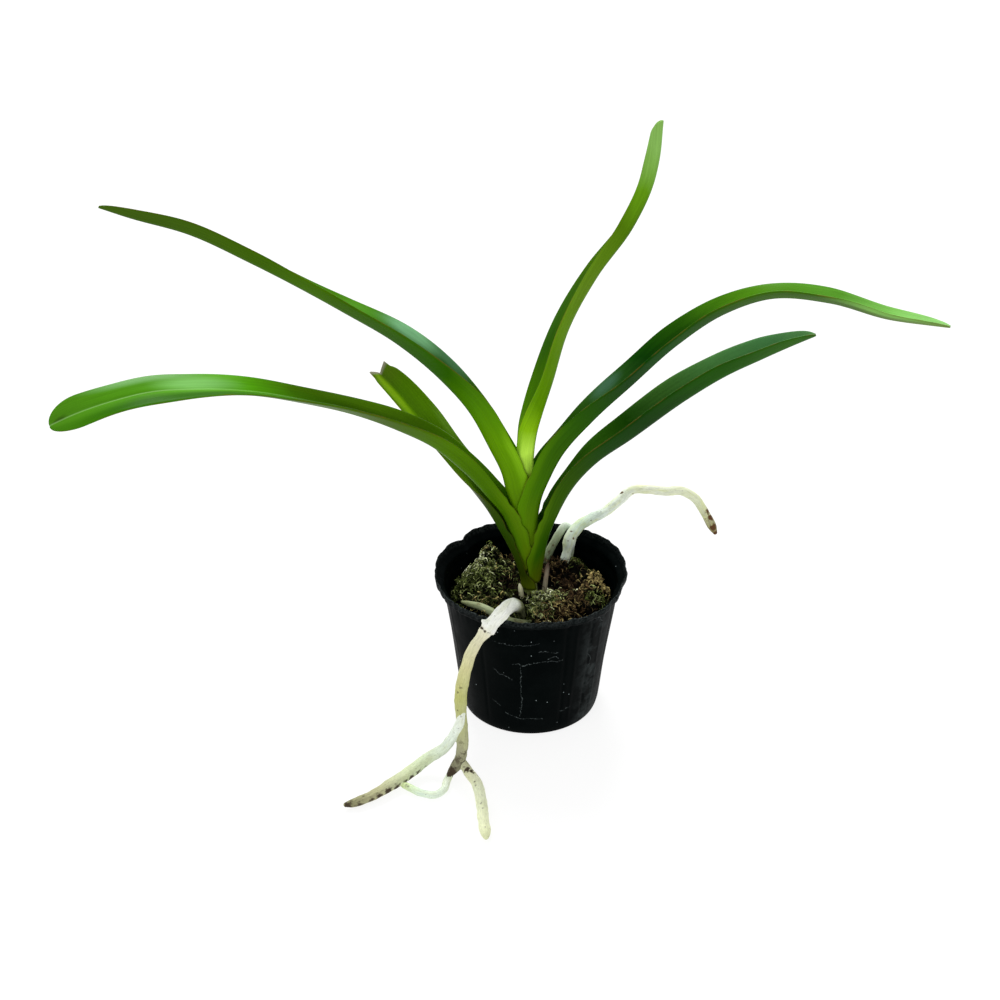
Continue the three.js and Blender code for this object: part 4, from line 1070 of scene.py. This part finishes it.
def make_front_root():
    # The dark first stops of the main branch are painted shade, where the root rises out of the
    # moss under the top of its bend.
    skin = root_skin(
        "front_root_velamen",
        "21.5 #33371f, 25.5 #70764f, 28.5 #f2f6ec, 43 #f6f7f0, 45 #e6e2c8, 58 #d3cf98, "
        "68 #b9bb72, 79 #b4b884, 89 #a3a284, 98 #6f6a58",
        "0 #f0f6ec, 25 #e0ecdc, 45 #d2e0bc, 62 #cdd6ae, 80 #b0ae88, 100 #82805c",
        "0 #a8a884, 20 #e4e5c2, 40 #f2f8d6, 90 #f6fbd2, 100 #dfe4b6",
        "0 #cfe0c0, 20 #ecf4e0, 70 #dcefda, 100 #d2e6a8",
        spots="#43382a", tinge="#c9ce9a",
    )
    torn = [(TEAR + 0.7, turn, 0.6, 1.9) for turn in range(2, 62, 10)]
    torn += [(TEAR + 0.3, -22, 0.5, 1.1), (TEAR + 0.8, -52, 0.5, 1.0), (TEAR - 1.5, 75, 0.6, 0.9)]
    low = [(92, 10, 1.0, 0.9), (95, 30, 0.8, 0.9), (104, 35, 0.9, 1.0), (112, -10, 0.7, 0.7),
           (122, 20, 2.0, 0.7), (128, -30, 2.4, 0.9), (133, 10, 3.0, 0.9), (139.5, 0, 1.5, 1.2),
           (142.5, 0, 1.7, 2.2), (136, 60, 0.9, 1.2)]
    left = [(s, -65, 2.0, w) for s, w in ((38, 0.7), (43, 1.1), (47, 1.5), (51, 1.3), (56, 1.5))]
    left += [(s, -50, 2.2, w) for s, w in ((61, 1.6), (66, 1.3), (70, 1.1), (76, 1.1), (81, 1.6))]
    left += [(1.2, 0, 0.9, 0.6), (79, 30, 1.6, 0.9), (73, 40, 1.0, 0.8)]
    right = [(7, 0, 1.5, 1.7), (9.4, -30, 1.3, 1.5), (11, -40, 1.0, 1.3), (16, 10, 0.9, 1.0),
             (19, 20, 0.8, 1.0), (27, -20, 0.8, 0.9), (33, 10, 0.7, 0.9), (36, -5, 0.8, 0.9),
             (49, 0, 1.0, 0.7), (0.5, 10, 1.6, 1.6)]
    ring = [(0.5, 0, 2.0, 2.0), (31, 0, 1.6, 0.8)]
    make_root("root_front", ROOT_FRONT, skin, seed=101, marks=[torn + low, left, right, ring],
              shape=torn_sleeve)


def make_back_roots():
    skin = root_skin(
        "back_root_velamen",
        "14 #98a48c, 20 #dfe9dc, 27 #dfeadc, 34 #c6dcc6, 45 #e9f6ea, 62 #f2f6e2, 86 #e2e8c6, "
        "97 #8c8460",
        speckle=0.3, tinge="#e6ee9a", tinge_share=0.45,
    )
    dots = [(39, -20, 0.7, 1.4), (37, 30, 0.6, 1.5), (35.5, -10, 0.6, 1.3), (30, 10, 0.9, 0.9),
            (52, 20, 0.6, 1.1), (60, -20, 0.7, 1.0), (68, 10, 0.5, 1.0), (75, -55, 0.9, 1.5),
            (79, 60, 1.0, 0.9), (122, -50, 1.8, 1.2), (126, -40, 2.0, 1.6), (131, -10, 2.4, 1.6),
            (135, 0, 2.2, 1.7)]
    make_root("root_back", [ROOT_BACK], skin, seed=151, marks=[dots], shape=knuckle)
    skin = root_skin("loop_root_velamen",
                     "25 #5f6a50, 50 #98a484, 62 #b8c4a4, 72 #eaf4e8, 100 #9aa582")
    dots = [(33, 0, 1.6, 0.8), (38, 10, 1.2, 0.8), (28, 0, 2.5, 0.9)]
    make_root("root_back_loop", [ROOT_BACK_LOOP], skin, seed=161, marks=[dots])


def make_small_roots():
    skin = root_skin("surface_root_velamen", "0 #8d946a, 35 #b0bb92, 60 #a4ae84, 100 #6f7650",
                     speckle=0.6, tinge="#6f7a48")
    dots = [(9, -40, 1.5, 0.8), (20, -40, 2.0, 0.9), (31, 20, 3, 0.9)]
    make_root("root_surface", [ROOT_SURFACE], skin, seed=171, marks=[dots])
    skin = root_skin("young_root_velamen", "0 #bdbb88, 100 #f0ecc8", speckle=0.2)
    make_root("root_nub", [ROOT_NUB], skin, seed=181, step=0.4)
    skin = root_skin("old_root_velamen", "0 #4c4836, 40 #7b7562, 75 #8a7868, 100 #46342a",
                     spots="#3a2218", speckle=0.8, tinge="#8a8a72", tinge_share=0.5)
    make_root("root_old", [ROOT_OLD], skin, "root_tan", seed=191, step=0.4)


def make_stem():
    skin = root_skin("green_stem", "0 #8f9a52, 100 #7d9a2e", spots="#5a4a1e", speckle=0.4)
    make_root("stem", [STEM], skin, "stem_green", seed=201, lump=0.02)


def make_leaves():
    # Besides leaf colour, the ramps hold painted shade on faces that look down, painted sheen and
    # highlights on the inner faces and tips, and the painted glow of light through the blades low
    # in the fan; the patch lists paint more sheen, glow and spots of shade.
    skins = {
        "leaf_left_old": leaf_skin(
            "old_left_leaf_cuticle",
            "0 #56660c, 8 #2b3a02, 28 #294703, 42 #35480a, 55 #557c10, 75 #466a12, 88 #6c940c, "
            "100 #66881a",
            "30 #35500a, 45 #466c06, 65 #4c7802, 80 #527e06, 92 #4a7404, 100 #4a680c",
            [(1, 0.9, -0.6, 0.2, 0.5, "#7aa410", 0.8), (1, 0.7, 0.9, 0.12, 0.35, "#6c982e", 0.6)],
            margin=14, cut="#8b8a72",
        ),
        "leaf_right_low": leaf_skin(
            "low_right_leaf_cuticle",
            "0 #5a6a06, 9 #2c5503, 20 #365a04, 32 #2c4e05, 42 #143f01, 52 #103900, 72 #1d4f01, "
            "100 #2f5f14",
            "30 #2a5402, 40 #316010, 49 #1b4a02, 60 #3c6a26, 75 #4a7d40, 88 #467c46, 100 #5a8a50",
            [(0, 0.1, -0.95, 0.2, 0.35, "#5a8008", 0.6)],
            margin=26,
        ),
        "leaf_left_low": leaf_skin(
            "low_left_leaf_cuticle",
            "0 #708a0a, 6 #4c7606, 12 #3c6402, 20 #467002, 30 #4b7502, 42 #436004, 60 #42660a, "
            "100 #3c7002",
            "25 #487802, 35 #3f6404, 48 #395e01, 58 #3e6e02, 66 #509a0a, 74 #5fa62c, 84 #4a8a12, "
            "100 #447c10",
            [(1, 0.755, 0.35, 0.09, 0.6, "#84c66a", 0.8), (1, 0.84, 0.9, 0.12, 0.4, "#8abf7c", 0.6),
             (1, 0.8, -0.8, 0.3, 0.7, "#2c6400", 0.95), (1, 0.5, 0.8, 0.2, 0.5, "#4c7408", 0.5),
             (1, 0.985, 0.1, 0.02, 0.25, "#2c4a08", 0.7),
             (0, 0.1, -0.8, 0.12, 0.4, "#5c8208", 0.7)],
            margin=18, rib=("#9ccc7a", 0.4),
        ),
        "leaf_right_high": leaf_skin(
            "high_right_leaf_cuticle",
            "4 #5c8008, 14 #3c6a02, 28 #2a5703, 42 #0d3a00, 52 #0e4200, 65 #305a02, 80 #3a5e10, "
            "100 #6a8540",
            "30 #265204, 36 #3b6a28, 44 #0e4503, 54 #235601, 68 #4c8410, 80 #56942a, 90 #80c05a, "
            "100 #96d07a",
            [(0, 0.12, -0.9, 0.2, 0.4, "#558402", 0.6), (1, 0.37, 0.75, 0.05, 0.4, "#54806a", 0.6),
             (0, 0.88, -0.9, 0.12, 0.5, "#7cb454", 0.8)],
            margin=9,
        ),
        "leaf_left_high": leaf_skin(
            "high_left_leaf_cuticle",
            "8 #5a8604, 20 #5e9201, 27 #508503, 36 #2b5c01, 45 #305d05, 60 #406a01, 80 #3a5b04, "
            "100 #3e5c0e",
            "22 #4a7a02, 35 #245603, 45 #2c6208, 55 #468008, 70 #3e6703, 100 #46681a",
            [(1, 0.445, 0.75, 0.08, 0.5, "#8ccc94", 0.85),
             (1, 0.36, 0.9, 0.06, 0.4, "#5c8f66", 0.6), (1, 0.53, 0.6, 0.07, 0.5, "#5a9c30", 0.6),
             (0, 0.17, -0.9, 0.08, 0.3, "#86bc1c", 0.5)],
            margin=1,
        ),
        "leaf_centre": leaf_skin(
            "young_leaf_cuticle",
            "10 #6a9a08, 20 #c0f250, 27 #86ba0e, 34 #5f9202, 60 #668c1c, 76 #4e7505, 86 #5e910f, "
            "94 #88ba5a",
            "20 #8cc028, 31 #4f8404, 45 #346604, 60 #446e08, 75 #4c7504, 86 #5c900c, 94 #88ba5a",
            [(0, 0.2, -0.95, 0.12, 0.3, "#5c9401", 0.7), (1, 0.52, 0.8, 0.16, 0.3, "#305f18", 0.6)],
            margin=1, rib=("#8ab048", 0.3),
        ),
    }
    for seed, (name, leaf) in enumerate(LEAVES.items(), 1):
        make_leaf(name, leaf, seed, skins[name])


make_stage()
make_pot(pot_plastic())
make_moss()
make_front_root()
make_back_roots()
make_small_roots()
make_stem()
make_leaves()
